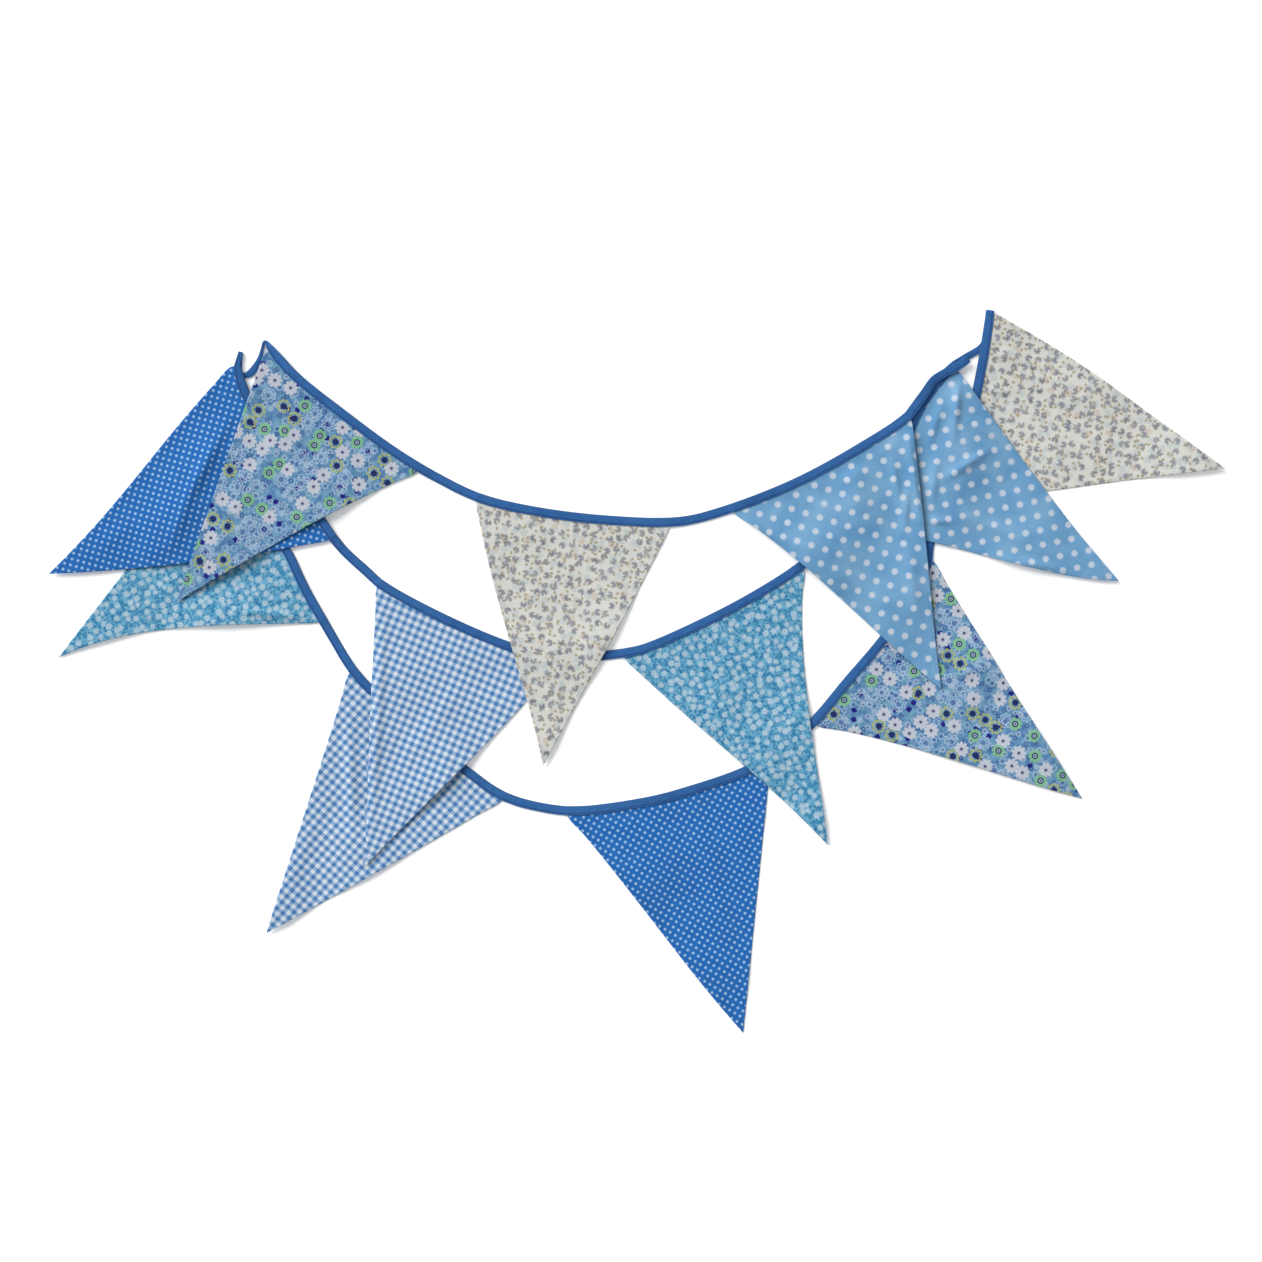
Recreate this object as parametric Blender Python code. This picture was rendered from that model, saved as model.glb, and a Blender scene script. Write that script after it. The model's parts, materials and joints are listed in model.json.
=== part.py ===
"""Fabric bunting: twelve flags held in one folded bias tape, as the string lies in three zigzag runs.

X points right and Y away over the table, both from the middle of the layout. Z is up from the table.
The layout tables are in millimetres, and the meshes in metres.
"""

import math
from collections import namedtuple

import bmesh
import bpy
import numpy as np

# Driving sizes of the real thing, in millimetres
TAPE_WIDTH = 9.0
TAPE_WALL = 0.6
FLAG_THICKNESS = 1.1
SEWN_CLEARANCE = 0.3

# The folded tape: its height where no flag is in it and the groove between its edges there,
# then the slot that takes a flag, and how far that slot reaches past the flag's corners
TAPE_FLAT = 1.8
GROOVE_DEPTH = 1.0
GROOVE_HEIGHT = 0.6
SLOT_BACK = 1.5
SLOT_HEIGHT = FLAG_THICKNESS + 2 * SEWN_CLEARANCE
TAPE_SEWN = SLOT_HEIGHT + 2 * TAPE_WALL
SLOT_REACH = 0.8

# A flag in its slot: underside above the tape's own, and depths of its tucked and first free rows
FLAG_LIFT = TAPE_WALL + SEWN_CLEARANCE
TUCK_DEPTH = SLOT_BACK + SEWN_CLEARANCE
FREE_DEPTH = TAPE_WIDTH + 1.0

# Fineness of the meshes
FLAG_COLUMNS = 12
GAP_PITCH = 14.0
LEAST_PITCH = 2.0
MOST_TURN = math.radians(14)
FOLD_STEPS = 8
ROUTE_STEP = 0.5
LEAST_ROUTE_SAMPLES = 4
WAY_REACH = 1.0

# Laying: gap between layers, length of tape at a joint that may touch what it joins, and the
# height map of what already lies on the table
STEP_GAP = 0.4
JOINT_REACH = 6.0
CELL = 2.0
MAP_HALF_X = 610.0
MAP_HALF_Y = 400.0
MAP_SAMPLES = 40
SAMPLES = 10

# Settling: rounds of sagging, passes of lifting in each and in the last, and the error left over
SETTLE_ROUNDS = 40
PASSES = 6
LAST_PASSES = 200
CLOSE_ENOUGH = 0.005
SAG = 0.9

MM = 0.001

# Base colours of the cottons and the tape
COLOURS = {
    "cream_sprig": (0.74, 0.74, 0.68),
    "light_dot": (0.13, 0.35, 0.62),
    "floral": (0.15, 0.35, 0.62),
    "gingham": (0.20, 0.42, 0.70),
    "pin_dot": (0.02, 0.15, 0.57),
    "teal_ditsy": (0.07, 0.35, 0.60),
    "tape": (0.028, 0.127, 0.40),
}
COTTON_ROUGHNESS = 0.9

RouteRow = namedtuple("RouteRow", "x y width lift lean")

# Outer edge of the folded tape, from left to right with the flags on its right-hand side.
# lift holds the tape up from the table, and lean raises the outer edge over the open one.
RUN_LOWER = [
    RouteRow(-408, 239, TAPE_WIDTH, 0, 0),
    RouteRow(-402, 225, TAPE_WIDTH, 0, 0),
    RouteRow(-385, 195, TAPE_WIDTH, 0, 0),
    RouteRow(-364, 156, TAPE_WIDTH, 0, 0),
    RouteRow(-336, 121, TAPE_WIDTH, 0, 0),
    RouteRow(-319, 86, TAPE_WIDTH, 0, 0),
    RouteRow(-301, 54, TAPE_WIDTH, 0, 0),
    RouteRow(-272, 6, TAPE_WIDTH, 0, 0),
    RouteRow(-255, -13, TAPE_WIDTH, 0, 0),
    RouteRow(-214, -50, TAPE_WIDTH, 0, 0),
    RouteRow(-163, -91, TAPE_WIDTH, 0, 0),
    RouteRow(-128, -115, TAPE_WIDTH, 0, 0),
    RouteRow(-91, -126, TAPE_WIDTH, 0, 0),
    RouteRow(-58, -129, TAPE_WIDTH, 0, 0),
    RouteRow(10, -120, TAPE_WIDTH, 0, 0),
    RouteRow(45, -111, TAPE_WIDTH, 0, 0),
    RouteRow(103, -91, TAPE_WIDTH, 0, 0),
    RouteRow(141, -70, TAPE_WIDTH, 0, 0),
    RouteRow(169, -43, TAPE_WIDTH, 0, 0),
    RouteRow(200, -6, TAPE_WIDTH, 0, 0),
    RouteRow(234, 34, TAPE_WIDTH, 0, 0),
    RouteRow(260, 71, TAPE_WIDTH, 0, 0),
    RouteRow(277, 108, TAPE_WIDTH, 0, 0),
    RouteRow(279, 124, TAPE_WIDTH, 0, 0),
    RouteRow(287, 144, TAPE_WIDTH, 0, 0),
    RouteRow(300, 168, TAPE_WIDTH, 0, 0),
    RouteRow(309, 207, TAPE_WIDTH, 0, 0),
    RouteRow(318, 245, TAPE_WIDTH, 0, 0),
    RouteRow(326, 279, TAPE_WIDTH, 0, 0),
    RouteRow(333, 318, 9, 0, 0),
    RouteRow(338, 350, 8, 0, 0),
]
RUN_MIDDLE = [
    RouteRow(-382, 309, 4.5, 0, 0),
    RouteRow(-384, 298, 6, 0, 0),
    RouteRow(-380, 286, 9, 0, 0),
    RouteRow(-374, 270, TAPE_WIDTH, 0, 0),
    RouteRow(-361, 250, TAPE_WIDTH, 0, 0),
    RouteRow(-339, 216, TAPE_WIDTH, 0, 0),
    RouteRow(-317, 178, TAPE_WIDTH, 0, 0),
    RouteRow(-301, 149, TAPE_WIDTH, 0, 0),
    RouteRow(-283, 124, TAPE_WIDTH, 0, 0),
    RouteRow(-257, 100, TAPE_WIDTH, 0, 0),
    RouteRow(-246, 90, TAPE_WIDTH, 0, 0),
    RouteRow(-200, 64, TAPE_WIDTH, 0, 0),
    RouteRow(-125, 31, TAPE_WIDTH, 0, 0),
    RouteRow(-75, 18, TAPE_WIDTH, 0, 0),
    RouteRow(-28, 22, TAPE_WIDTH, 0, 0),
    RouteRow(-2, 26, TAPE_WIDTH, 0, 0),
    RouteRow(11, 30, TAPE_WIDTH, 0, 0),
    RouteRow(48, 46, TAPE_WIDTH, 0, 0),
    RouteRow(105, 75, TAPE_WIDTH, 0, 0),
    RouteRow(157, 108, TAPE_WIDTH, 0, 0),
    RouteRow(203, 148, TAPE_WIDTH, 0, 0),
    RouteRow(234, 187, TAPE_WIDTH, 0, 0),
    RouteRow(255, 226, TAPE_WIDTH, 0, 0),
    RouteRow(272, 262, TAPE_WIDTH, 0, 0),
    RouteRow(288, 285, TAPE_WIDTH, 0, 0),
    RouteRow(303, 300, 9, 0, 0),
    RouteRow(315, 308, 7, 0, 0),
    RouteRow(326, 314, 7, 0, 0),
    RouteRow(333, 320, 7, 0, 0),
    RouteRow(336, 330, 7.5, 0, 0),
    RouteRow(338, 350, 8, 0, 0),
]
RUN_UPPER = [
    RouteRow(-382, 309, 4.5, 0, 0),
    RouteRow(-383, 297, 4.5, 0, 0),
    RouteRow(-381.5, 291, 5, 0, 0),
    RouteRow(-378, 292.5, 7, 0, 0),
    RouteRow(-374.5, 296.5, 7.5, 0, 0),
    RouteRow(-370, 302, 6, 0, 0),
    RouteRow(-366.5, 309, 4, 0, 0),
    RouteRow(-364.5, 315, 3, 0.6, 0),
    RouteRow(-363.5, 319.5, 2.4, 1.2, 0),
    RouteRow(-361.5, 322.2, 2.4, 1.5, 0),
    RouteRow(-359, 322.4, 2.8, 1.7, 0),
    RouteRow(-356.5, 320.4, 4.5, 1.9, 0),
    RouteRow(-350, 314.5, 8.5, 0, 0),
    RouteRow(-344, 308, TAPE_WIDTH, 0, 0),
    RouteRow(-326, 289, TAPE_WIDTH, 0, 0),
    RouteRow(-283, 255, TAPE_WIDTH, 0, 0),
    RouteRow(-234, 219, TAPE_WIDTH, 0, 0),
    RouteRow(-191, 193, TAPE_WIDTH, 0, 0),
    RouteRow(-151, 174, TAPE_WIDTH, 0, 0),
    RouteRow(-102, 162, TAPE_WIDTH, 0, 0),
    RouteRow(-31, 153, TAPE_WIDTH, 0, 0),
    RouteRow(41, 151.5, TAPE_WIDTH, 0, 0),
    RouteRow(81, 161, TAPE_WIDTH, 0, 0),
    RouteRow(151, 188, TAPE_WIDTH, 0, 0),
    RouteRow(212, 221, TAPE_WIDTH, 0, 0),
    RouteRow(259, 252, TAPE_WIDTH, 0, 0),
    RouteRow(268, 264, TAPE_WIDTH, 0, 0),
    RouteRow(276, 275, 9, 0, 1.5),
    RouteRow(284, 286, 8, 0, 2),
    RouteRow(296, 294, 8, 0, 1),
    RouteRow(308, 300, 8, 0, 0),
    RouteRow(319, 307, 7, 0, 0),
]

# start and end are the corners at the tape's open edge, and each bow pair bulges a side outward
# at one and two thirds of its length.
FlagRow = namedtuple("FlagRow", "name cloth start end tip start_bow end_bow")
LOWER_FLAGS = [
    FlagRow("flag_01_teal", "teal_ditsy", (-402, 224), (-306, 51), (-561, 15), (-2, -2), (-9, -13)),
    FlagRow("flag_02_gingham", "gingham", (-278, 1), (-131, -122), (-359, -252), (-0.5, 0), (1, 1)),
    FlagRow("flag_03_pin_dot", "pin_dot", (-67, -137), (129, -89), (103, -349), (-1, 1), (0, 0)),
    FlagRow("flag_04_floral", "floral", (171, -48), (285, 109), (432, -122), (-4, -2), (-1, -1)),
    FlagRow("flag_05_cream", "cream_sprig", (305, 166), (341, 351), (570, 198), (-0.5, -1), (5.5, 3.5)),
]
MIDDLE_FLAGS = [
    FlagRow("flag_09_pin_dot", "pin_dot", (-387, 297), (-299, 129), (-570, 96), (0.5, -2.5), (5, 5)),
    FlagRow("flag_08_gingham", "gingham", (-251, 84), (-75, 16), (-263, -187), (1, 1), (2.5, 1)),
    FlagRow("flag_07_teal", "teal_ditsy", (-12, 14), (160, 102), (185, -167), (0, -2.5), (-8, -5)),
    FlagRow("flag_06_light_dot", "light_dot", (209, 137), (309, 296), (467, 89), (-3, 3), (-2, -3)),
]
UPPER_FLAGS = [
    FlagRow("flag_10_floral", "floral", (-357, 315), (-213, 195), (-446, 69), (0, 0), (-4, -3)),
    FlagRow("flag_11_cream", "cream_sprig", (-155, 168), (31, 142), (-91, -90), (3, 0), (2, 1)),
    FlagRow("flag_12_light_dot", "light_dot", (94, 156), (267, 243), (295, -16), (-4.5, -2), (1, 0)),
]

# Places where the cloth stands off what it lies on: round swells, level with it again at the radius
SwellRow = namedtuple("SwellRow", "flag x y height radius")
SWELLS = [
    SwellRow("flag_01_teal", -400, 40, 5.0, 68),
    SwellRow("flag_01_teal", -520, 34, 4.0, 52),
    SwellRow("flag_02_gingham", -262, -178, 3.5, 60),
    SwellRow("flag_02_gingham", -345, -235, 3.0, 45),
    SwellRow("flag_03_pin_dot", 62, -300, 2.5, 60),
    SwellRow("flag_03_pin_dot", 8, -190, 2.5, 52),
    SwellRow("flag_04_floral", 395, -75, 3.5, 68),
    SwellRow("flag_04_floral", 310, -92, 3.0, 60),
    SwellRow("flag_05_cream", 545, 204, 5.0, 68),
    SwellRow("flag_05_cream", 450, 296, 3.0, 60),
    SwellRow("flag_06_light_dot", 380, 112, 5.0, 60),
    SwellRow("flag_06_light_dot", 450, 96, 4.0, 52),
    SwellRow("flag_07_teal", 178, -140, 3.0, 52),
    SwellRow("flag_07_teal", 60, -50, 2.5, 60),
    SwellRow("flag_08_gingham", -190, -110, 4.0, 60),
    SwellRow("flag_08_gingham", -262, -60, 2.5, 52),
    SwellRow("flag_09_pin_dot", -545, 102, 4.0, 60),
    SwellRow("flag_09_pin_dot", -430, 150, 3.0, 68),
    SwellRow("flag_10_floral", -400, 100, 3.0, 60),
    SwellRow("flag_10_floral", -290, 158, 2.5, 60),
    SwellRow("flag_11_cream", -88, -72, 4.0, 45),
    SwellRow("flag_11_cream", -20, 40, 3.0, 52),
    SwellRow("flag_12_light_dot", 176, 110, 4.0, 60),
    SwellRow("flag_12_light_dot", 268, 100, 2.5, 60),
]

# Soft folds, each running straight from one place to another
FoldRow = namedtuple("FoldRow", "flag x y to_x to_y height radius")
FOLDS = [
    FoldRow("flag_01_teal", -388, 61, -322, 55, 2.0, 24),
    FoldRow("flag_02_gingham", -318, -82, -352, -226, 2.5, 30),
    FoldRow("flag_04_floral", 352, 30, 310, -30, 2.5, 30),
    FoldRow("flag_06_light_dot", 312, 282, 310, 222, 3.0, 26),
    FoldRow("flag_06_light_dot", 342, 216, 300, 188, 2.0, 26),
    FoldRow("flag_09_pin_dot", -420, 215, -462, 125, 3.0, 28),
    FoldRow("flag_12_light_dot", 262, 236, 276, 148, 2.5, 28),
    FoldRow("flag_12_light_dot", 110, 146, 190, 92, 2.0, 30),
]

# What lies on what, from the table up: a run, and its flag's place in it or its bare start or end
LAYING_ORDER = [
    ("lower", 0),
    ("lower", 1),
    ("lower", 2),
    ("lower", 3),
    ("middle", "end"),
    ("lower", 4),
    ("middle", 3),
    ("middle", 2),
    ("middle", 1),
    ("upper", "start"),
    ("middle", 0),
    ("upper", 0),
    ("upper", 1),
    ("upper", 2),
    ("upper", "end"),
]
START = (-1, 0)


def smooth_route(rows):
    """Samples of a smooth curve through the rows: the length along it, then each of their columns."""
    table = np.array([tuple(row) for row in rows], float)
    table = np.vstack([2 * table[0] - table[1], table, 2 * table[-1] - table[-2]])
    samples = []
    for before, start, end, after in zip(table, table[1:], table[2:], table[3:]):
        count = max(LEAST_ROUTE_SAMPLES, int(math.dist(start[:2], end[:2]) / ROUTE_STEP))
        knots = [0.0]
        for one, two in ((before, start), (start, end), (end, after)):
            knots.append(knots[-1] + math.sqrt(math.dist(one[:2], two[:2])))
        t = np.linspace(knots[1], knots[2], count, endpoint=False)[:, None]
        first = blend(t, knots[0], knots[1], before, start)
        second = blend(t, knots[1], knots[2], start, end)
        third = blend(t, knots[2], knots[3], end, after)
        left = blend(t, knots[0], knots[2], first, second)
        right = blend(t, knots[1], knots[3], second, third)
        samples.append(blend(t, knots[1], knots[2], left, right))
    curve = np.vstack(samples + [table[-2:-1]])
    lengths = np.concatenate([[0.0], np.cumsum(np.linalg.norm(np.diff(curve[:, :2], axis=0), axis=1))])
    return np.column_stack([lengths, curve])


def blend(t, low, high, start, end):
    """Straight-line mix that is start at t = low and end at t = high."""
    return ((high - t) * start + (t - low) * end) / (high - low)


class Run:
    """One run of the tape: its smooth outer edge and the stations along it."""

    def __init__(self, rows, flags):
        self.route = smooth_route(rows)
        self.flags = flags
        self.spans = [self.span(flag) for flag in flags]
        self.lay_stations()

    def span(self, flag):
        """Lengths along the route at which the flag's two top corners sit."""
        found = []
        for corner in (flag.start, flag.end):
            away = np.hypot(self.route[:, 1] - corner[0], self.route[:, 2] - corner[1])
            found.append(self.route[int(np.argmin(away)), 0])
        return found[0], min(found[1], self.route[-1, 0] - SLOT_REACH)

    def lay_stations(self):
        """Stations: even steps along each flag, one just past each corner, and bare ones between."""
        lengths = [0.0]
        owners = [START]
        for number, (low, high) in enumerate(self.spans):
            bare = self.bare_steps(lengths[-1], low - SLOT_REACH)
            lengths += bare
            owners += [(number - 1, number)] * len(bare)
            held = [low - SLOT_REACH] + list(np.linspace(low, high, FLAG_COLUMNS + 1)) + [high + SLOT_REACH]
            lengths += held
            owners += [number] * len(held)
        last = self.route[-1, 0]
        if last - lengths[-1] > SLOT_REACH:
            bare = self.bare_steps(lengths[-1], last) + [last]
            lengths += bare
            owners += [(len(self.spans) - 1, len(self.spans))] * len(bare)
        self.lengths = np.array(lengths)
        self.owners = owners
        self.outer = self.at(self.lengths, 1, 2)
        self.width, self.lift, self.lean = self.at(self.lengths, 3, 4, 5).T
        ahead = self.ahead(self.lengths)
        self.side = np.column_stack([ahead[:, 1], -ahead[:, 0]])
        self.open = self.outer + self.side * self.width[:, None]
        self.sewn = np.array([not isinstance(owner, tuple) for owner in owners])
        self.thickness = np.where(self.sewn, TAPE_SEWN, TAPE_FLAT)
        self.height = self.lift.copy()
        self.settled = np.zeros(len(lengths), bool)

    def at(self, lengths, *columns):
        """The route's columns at the given lengths along it."""
        return np.column_stack([np.interp(lengths, self.route[:, 0], self.route[:, c]) for c in columns])

    def ahead(self, lengths):
        """Unit vectors along the tape."""
        found = self.at(lengths + WAY_REACH, 1, 2) - self.at(lengths - WAY_REACH, 1, 2)
        return found / np.linalg.norm(found, axis=1)[:, None]

    def bare_steps(self, start, end):
        """Lengths between start and end, closer together where the tape turns."""
        found = [start]
        inner = np.arange(start + ROUTE_STEP, end - LEAST_PITCH, ROUTE_STEP)
        ways = self.ahead(np.array([start, *inner]))
        way = ways[0]
        for length, now in zip(inner, ways[1:]):
            turned = math.acos(max(-1.0, min(1.0, float(way @ now))))
            gone = length - found[-1]
            if gone >= GAP_PITCH or (gone >= LEAST_PITCH and turned > MOST_TURN):
                found.append(float(length))
                way = now
        return found[1:]

    def laid_with(self, what):
        """Stations laid in one go: a flag's own and the bare ones before it, or the run's bare end."""
        wanted = {"start": [START], "end": [(len(self.flags) - 1, len(self.flags))]}
        wanted = wanted.get(what) or [what, (what - 1, what)]
        return [i for i, owner in enumerate(self.owners) if owner in wanted and not self.settled[i]]


class HeightMap:
    """Top of everything that has been laid so far, in square cells."""

    def __init__(self):
        self.columns = int(2 * MAP_HALF_X / CELL)
        self.rows = int(2 * MAP_HALF_Y / CELL)
        self.top = np.zeros((self.rows, self.columns))
        self.spread = self.top

    def cells(self, points):
        """Row and column of the cell that each point is in."""
        column = np.clip(((points[..., 0] + MAP_HALF_X) / CELL).astype(int), 0, self.columns - 1)
        row = np.clip(((points[..., 1] + MAP_HALF_Y) / CELL).astype(int), 0, self.rows - 1)
        return row, column

    def under(self, points):
        """Height that a cloth must keep over at these points, 2 mm past each edge below it."""
        row, column = self.cells(points)
        return self.spread[row, column]

    def add(self, corners, heights):
        """Raises the map to triangles: corners (count, 3, 2) and their top heights (count, 3)."""
        weights = sample_weights(MAP_SAMPLES)
        points = np.einsum("sk,tkc->tsc", weights, corners)
        values = heights @ weights.T
        row, column = self.cells(points)
        np.maximum.at(self.top, (row.ravel(), column.ravel()), values.ravel())
        padded = np.pad(self.top, 1)
        shifts = [padded[r : r + self.rows, c : c + self.columns] for r in range(3) for c in range(3)]
        self.spread = np.max(shifts, axis=0)


def sample_weights(steps):
    """Barycentric weights of an even net of points in a triangle."""
    found = [(i, j, steps - i - j) for i in range(steps + 1) for j in range(steps + 1 - i)]
    return np.array(found) / steps


def flag_plan(run, number):
    """Points of a flag's net in plan, its rows from the tucked edge to the tip."""
    flag = run.flags[number]
    held = [i for i, owner in enumerate(run.owners) if owner == number][1:-1]
    tucked = run.outer[held] + run.side[held] * TUCK_DEPTH
    free = run.outer[held] + run.side[held] * FREE_DEPTH
    share = np.linspace(0, 1, FLAG_COLUMNS + 1)
    start, end, tip = free[0], free[-1], np.array(flag.tip, float)
    sag = free - (start + share[:, None] * (end - start))
    rows = [tucked, free]
    for j in range(1, FLAG_COLUMNS + 1):
        t = j / FLAG_COLUMNS
        count = FLAG_COLUMNS - j
        u = np.linspace(0, 1, count + 1) if count else np.array([0.5])
        row = (1 - t) * (start + u[:, None] * (end - start)) + t * tip
        bend = np.column_stack([np.interp(u, share, sag[:, c]) for c in (0, 1)])
        row = row + bend * (1 - t) ** 2
        row = row + outward(start, tip, end) * bow(flag.start_bow, t) * (1 - u)[:, None]
        row = row + outward(end, tip, start) * bow(flag.end_bow, t) * u[:, None]
        rows.append(row)
    return np.vstack(rows), held


def outward(corner, tip, other):
    """Unit vector square to a side, away from the flag's other corner."""
    along = (tip - corner) / np.linalg.norm(tip - corner)
    square = np.array([along[1], -along[0]])
    return -square if np.dot(other - corner, square) > 0 else square


def bow(pair, t):
    """Cubic through nought at both ends and the pair's bulges at one and two thirds."""
    return 4.5 * t * (1 - t) * (pair[0] * (2 - 3 * t) + pair[1] * (3 * t - 1))


def flag_triangles():
    """Triangles of a flag's net, as indices into its rows laid end to end."""
    counts = [FLAG_COLUMNS + 1, FLAG_COLUMNS + 1] + list(range(FLAG_COLUMNS, 0, -1))
    starts = np.concatenate([[0], np.cumsum(counts)])
    found = []
    for k in range(FLAG_COLUMNS):
        a, b = k, starts[1] + k
        found += [(a, b, b + 1), (a, b + 1, a + 1)]
    for r in range(1, len(counts) - 1):
        for k in range(counts[r] - 1):
            a, b = starts[r] + k, starts[r + 1] + k
            found.append((a, b, a + 1))
            if k < counts[r] - 2:
                found.append((a + 1, b, b + 1))
    return np.array(found)


FLAG_NET = flag_triangles()


def tape_triangles(run, stations):
    """Plan corners and station numbers of the tape's flat strip between neighbouring stations."""
    corners = []
    owners = []
    for one, two in zip(stations, stations[1:]):
        quad = [(run.outer[one], one), (run.open[one], one), (run.open[two], two), (run.outer[two], two)]
        for trio in ((0, 1, 2), (0, 2, 3)):
            corners.append([quad[i][0] for i in trio])
            owners.append([quad[i][1] for i in trio])
    return np.array(corners), np.array(owners)


def needed(corners, height_map):
    """Least height of the underside at the sample points of plan triangles, and those points."""
    points = np.einsum("sk,tkc->tsc", sample_weights(SAMPLES), corners)
    below = height_map.under(points)
    return np.where(below > 0, below + STEP_GAP, 0.0), points


def settle(need, owners, offsets, heights, fixed):
    """Lets a net of triangles sink onto what lies below it and returns its heights.

    owners tell the height that each corner follows, and offsets what each corner's underside adds
    to it. Fixed heights stay as they are.
    """
    weights = sample_weights(SAMPLES)
    floor = heights.copy()
    edges = np.vstack([owners[:, [0, 1]], owners[:, [1, 2]], owners[:, [2, 0]]])
    edges = np.unique(np.sort(edges[edges[:, 0] != edges[:, 1]], axis=1), axis=0)
    share = (weights**2).sum(axis=1)
    for turn in range(SETTLE_ROUNDS + 1):
        passes = LAST_PASSES if turn == SETTLE_ROUNDS else PASSES
        for _ in range(passes):
            short = need - (heights[owners] + offsets) @ weights.T
            if short.max() < CLOSE_ENOUGH:
                break
            push = np.maximum(short, 0)[:, :, None] * weights[None] / share[None, :, None]
            lift = np.zeros(len(heights))
            np.maximum.at(lift, owners, push.max(axis=1))
            lift[fixed] = 0
            heights = heights + lift
        if turn < SETTLE_ROUNDS:
            heights = sag_down(heights, edges, fixed, floor)
    return heights


def sag_down(heights, edges, fixed, floor):
    """One step of smoothing towards the neighbours' mean, drawn down by the cloth's weight."""
    total = np.zeros(len(heights))
    count = np.zeros(len(heights))
    for one, two in (edges.T, edges.T[::-1]):
        np.add.at(total, one, heights[two])
        np.add.at(count, one, 1)
    mean = total / np.maximum(count, 1)
    loose = np.maximum(SAG * (0.5 * heights + 0.5 * mean), floor)
    loose[fixed] = heights[fixed]
    return loose


def swell(flag, points):
    """Height that the swells and folds of one flag add at its points."""
    ridges = [FoldRow(row.flag, row.x, row.y, row.x, row.y, row.height, row.radius) for row in SWELLS]
    raised = np.zeros(len(points))
    for row in ridges + FOLDS:
        if row.flag == flag.name:
            away = distance_to_segment(points, np.array([row.x, row.y]), np.array([row.to_x, row.to_y]))
            raised += row.height * np.maximum(1 - (away / row.radius) ** 2, 0) ** 2
    return raised


def distance_to_segment(points, start, end):
    """Distance in plan from each point to the straight line between start and end."""
    along = end - start
    share = (points - start) @ along / max(along @ along, 1.0)
    nearest = start + np.clip(share, 0, 1)[:, None] * along
    return np.linalg.norm(points - nearest, axis=1)


def lay(run, what, height_map):
    """Lays one flag with its tape, or a bare stretch, on what is there. Returns the flag's net."""
    stations = run.laid_with(what)
    corners, owners = tape_triangles(run, stations)
    need, points = needed(corners, height_map)
    for joint in (stations[0] - 1, stations[-1] + 1):
        if 0 <= joint < len(run.lengths) and run.settled[joint]:
            away = np.linalg.norm(points - run.outer[joint], axis=2)
            need[away < run.width[joint] + JOINT_REACH] = 0
    offsets = np.zeros(owners.shape)
    heights = run.height.copy()
    fixed = np.ones(len(heights), bool)
    fixed[stations] = False
    has_flag = what not in ("start", "end")
    if has_flag:
        net, held = flag_plan(run, what)
        tucked = 2 * len(held)
        loose = len(net) - tucked
        owner_of = np.concatenate([held, held, len(heights) + np.arange(loose)]).astype(int)
        offset_of = np.concatenate([np.full(tucked, FLAG_LIFT), np.zeros(loose)])
        need = np.vstack([need, needed(net[FLAG_NET], height_map)[0]])
        owners = np.vstack([owners, owner_of[FLAG_NET]])
        offsets = np.vstack([offsets, offset_of[FLAG_NET]])
        heights = np.concatenate([heights, np.zeros(loose)])
        fixed = np.concatenate([fixed, np.zeros(loose, bool)])
    heights = settle(need, owners, offsets, heights, fixed)
    run.height = heights[: len(run.lengths)].copy()
    run.settled[stations] = True
    corners, owners = tape_triangles(run, stations)
    height_map.add(corners, (run.height + run.thickness + run.lean)[owners])
    if not has_flag:
        return None
    under = heights[owner_of] + offset_of
    under[tucked:] += swell(run.flags[what], net[tucked:])
    height_map.add(net[FLAG_NET], under[FLAG_NET] + FLAG_THICKNESS)
    return net, under


def tape_section(outer, open_edge, up, thickness, back, opening):
    """Eight points round the folded tape: closed at its outer edge, with a slot in its open one."""
    half = up * thickness / 2
    lip = up * opening / 2
    bottom = outer + (open_edge - outer) * back
    return [
        outer - half,
        open_edge - half,
        open_edge - lip,
        bottom - lip,
        bottom + lip,
        open_edge + lip,
        open_edge + half,
        outer + half,
    ]


def run_sections(run, up):
    """Sections of one run, from left to right."""
    found = []
    for i in range(len(run.lengths)):
        middle = run.height[i] + run.thickness[i] / 2
        outer = np.array([*run.outer[i], middle + run.lean[i]])
        open_edge = np.array([*run.open[i], middle])
        if run.sewn[i]:
            back = SLOT_BACK / run.width[i]
            opening = SLOT_HEIGHT
        else:
            back = 1 - GROOVE_DEPTH / run.width[i]
            opening = GROOVE_HEIGHT
        found.append(tape_section(outer, open_edge, up, run.thickness[i], back, opening))
    return found


def hairpin(start, end, heading, outside):
    """Sections of the fold where one strand turns over and goes back under itself.

    start and end are the strands' edges, heading the way to the fold, and outside is 1 where the
    strand's upper face is the outer one, or -1.
    """
    found = []
    for k in range(1, FOLD_STEPS):
        angle = math.pi * k / FOLD_STEPS
        out = np.array([*(heading * math.sin(angle)), math.cos(angle)])
        ends = []
        for one, two in zip(start, end):
            radius = (one[2] - two[2]) / 2
            edge = one + (two - one) * k / FOLD_STEPS
            edge[2] = two[2] + radius
            ends.append(edge + out * radius)
        back = 1 - GROOVE_DEPTH / np.linalg.norm(ends[1] - ends[0])
        found.append(tape_section(*ends, outside * out, TAPE_FLAT, back, GROOVE_HEIGHT))
    return found


def strand_end(run, index):
    """Middle of the tape's two edges at one end of a run."""
    middle = run.height[index] + run.thickness[index] / 2
    return [np.array([*run.outer[index], middle]), np.array([*run.open[index], middle])]


def heading_right(run, index):
    """Unit vector along a run, towards its right-hand end."""
    return np.array([-run.side[index][1], run.side[index][0]])


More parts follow.
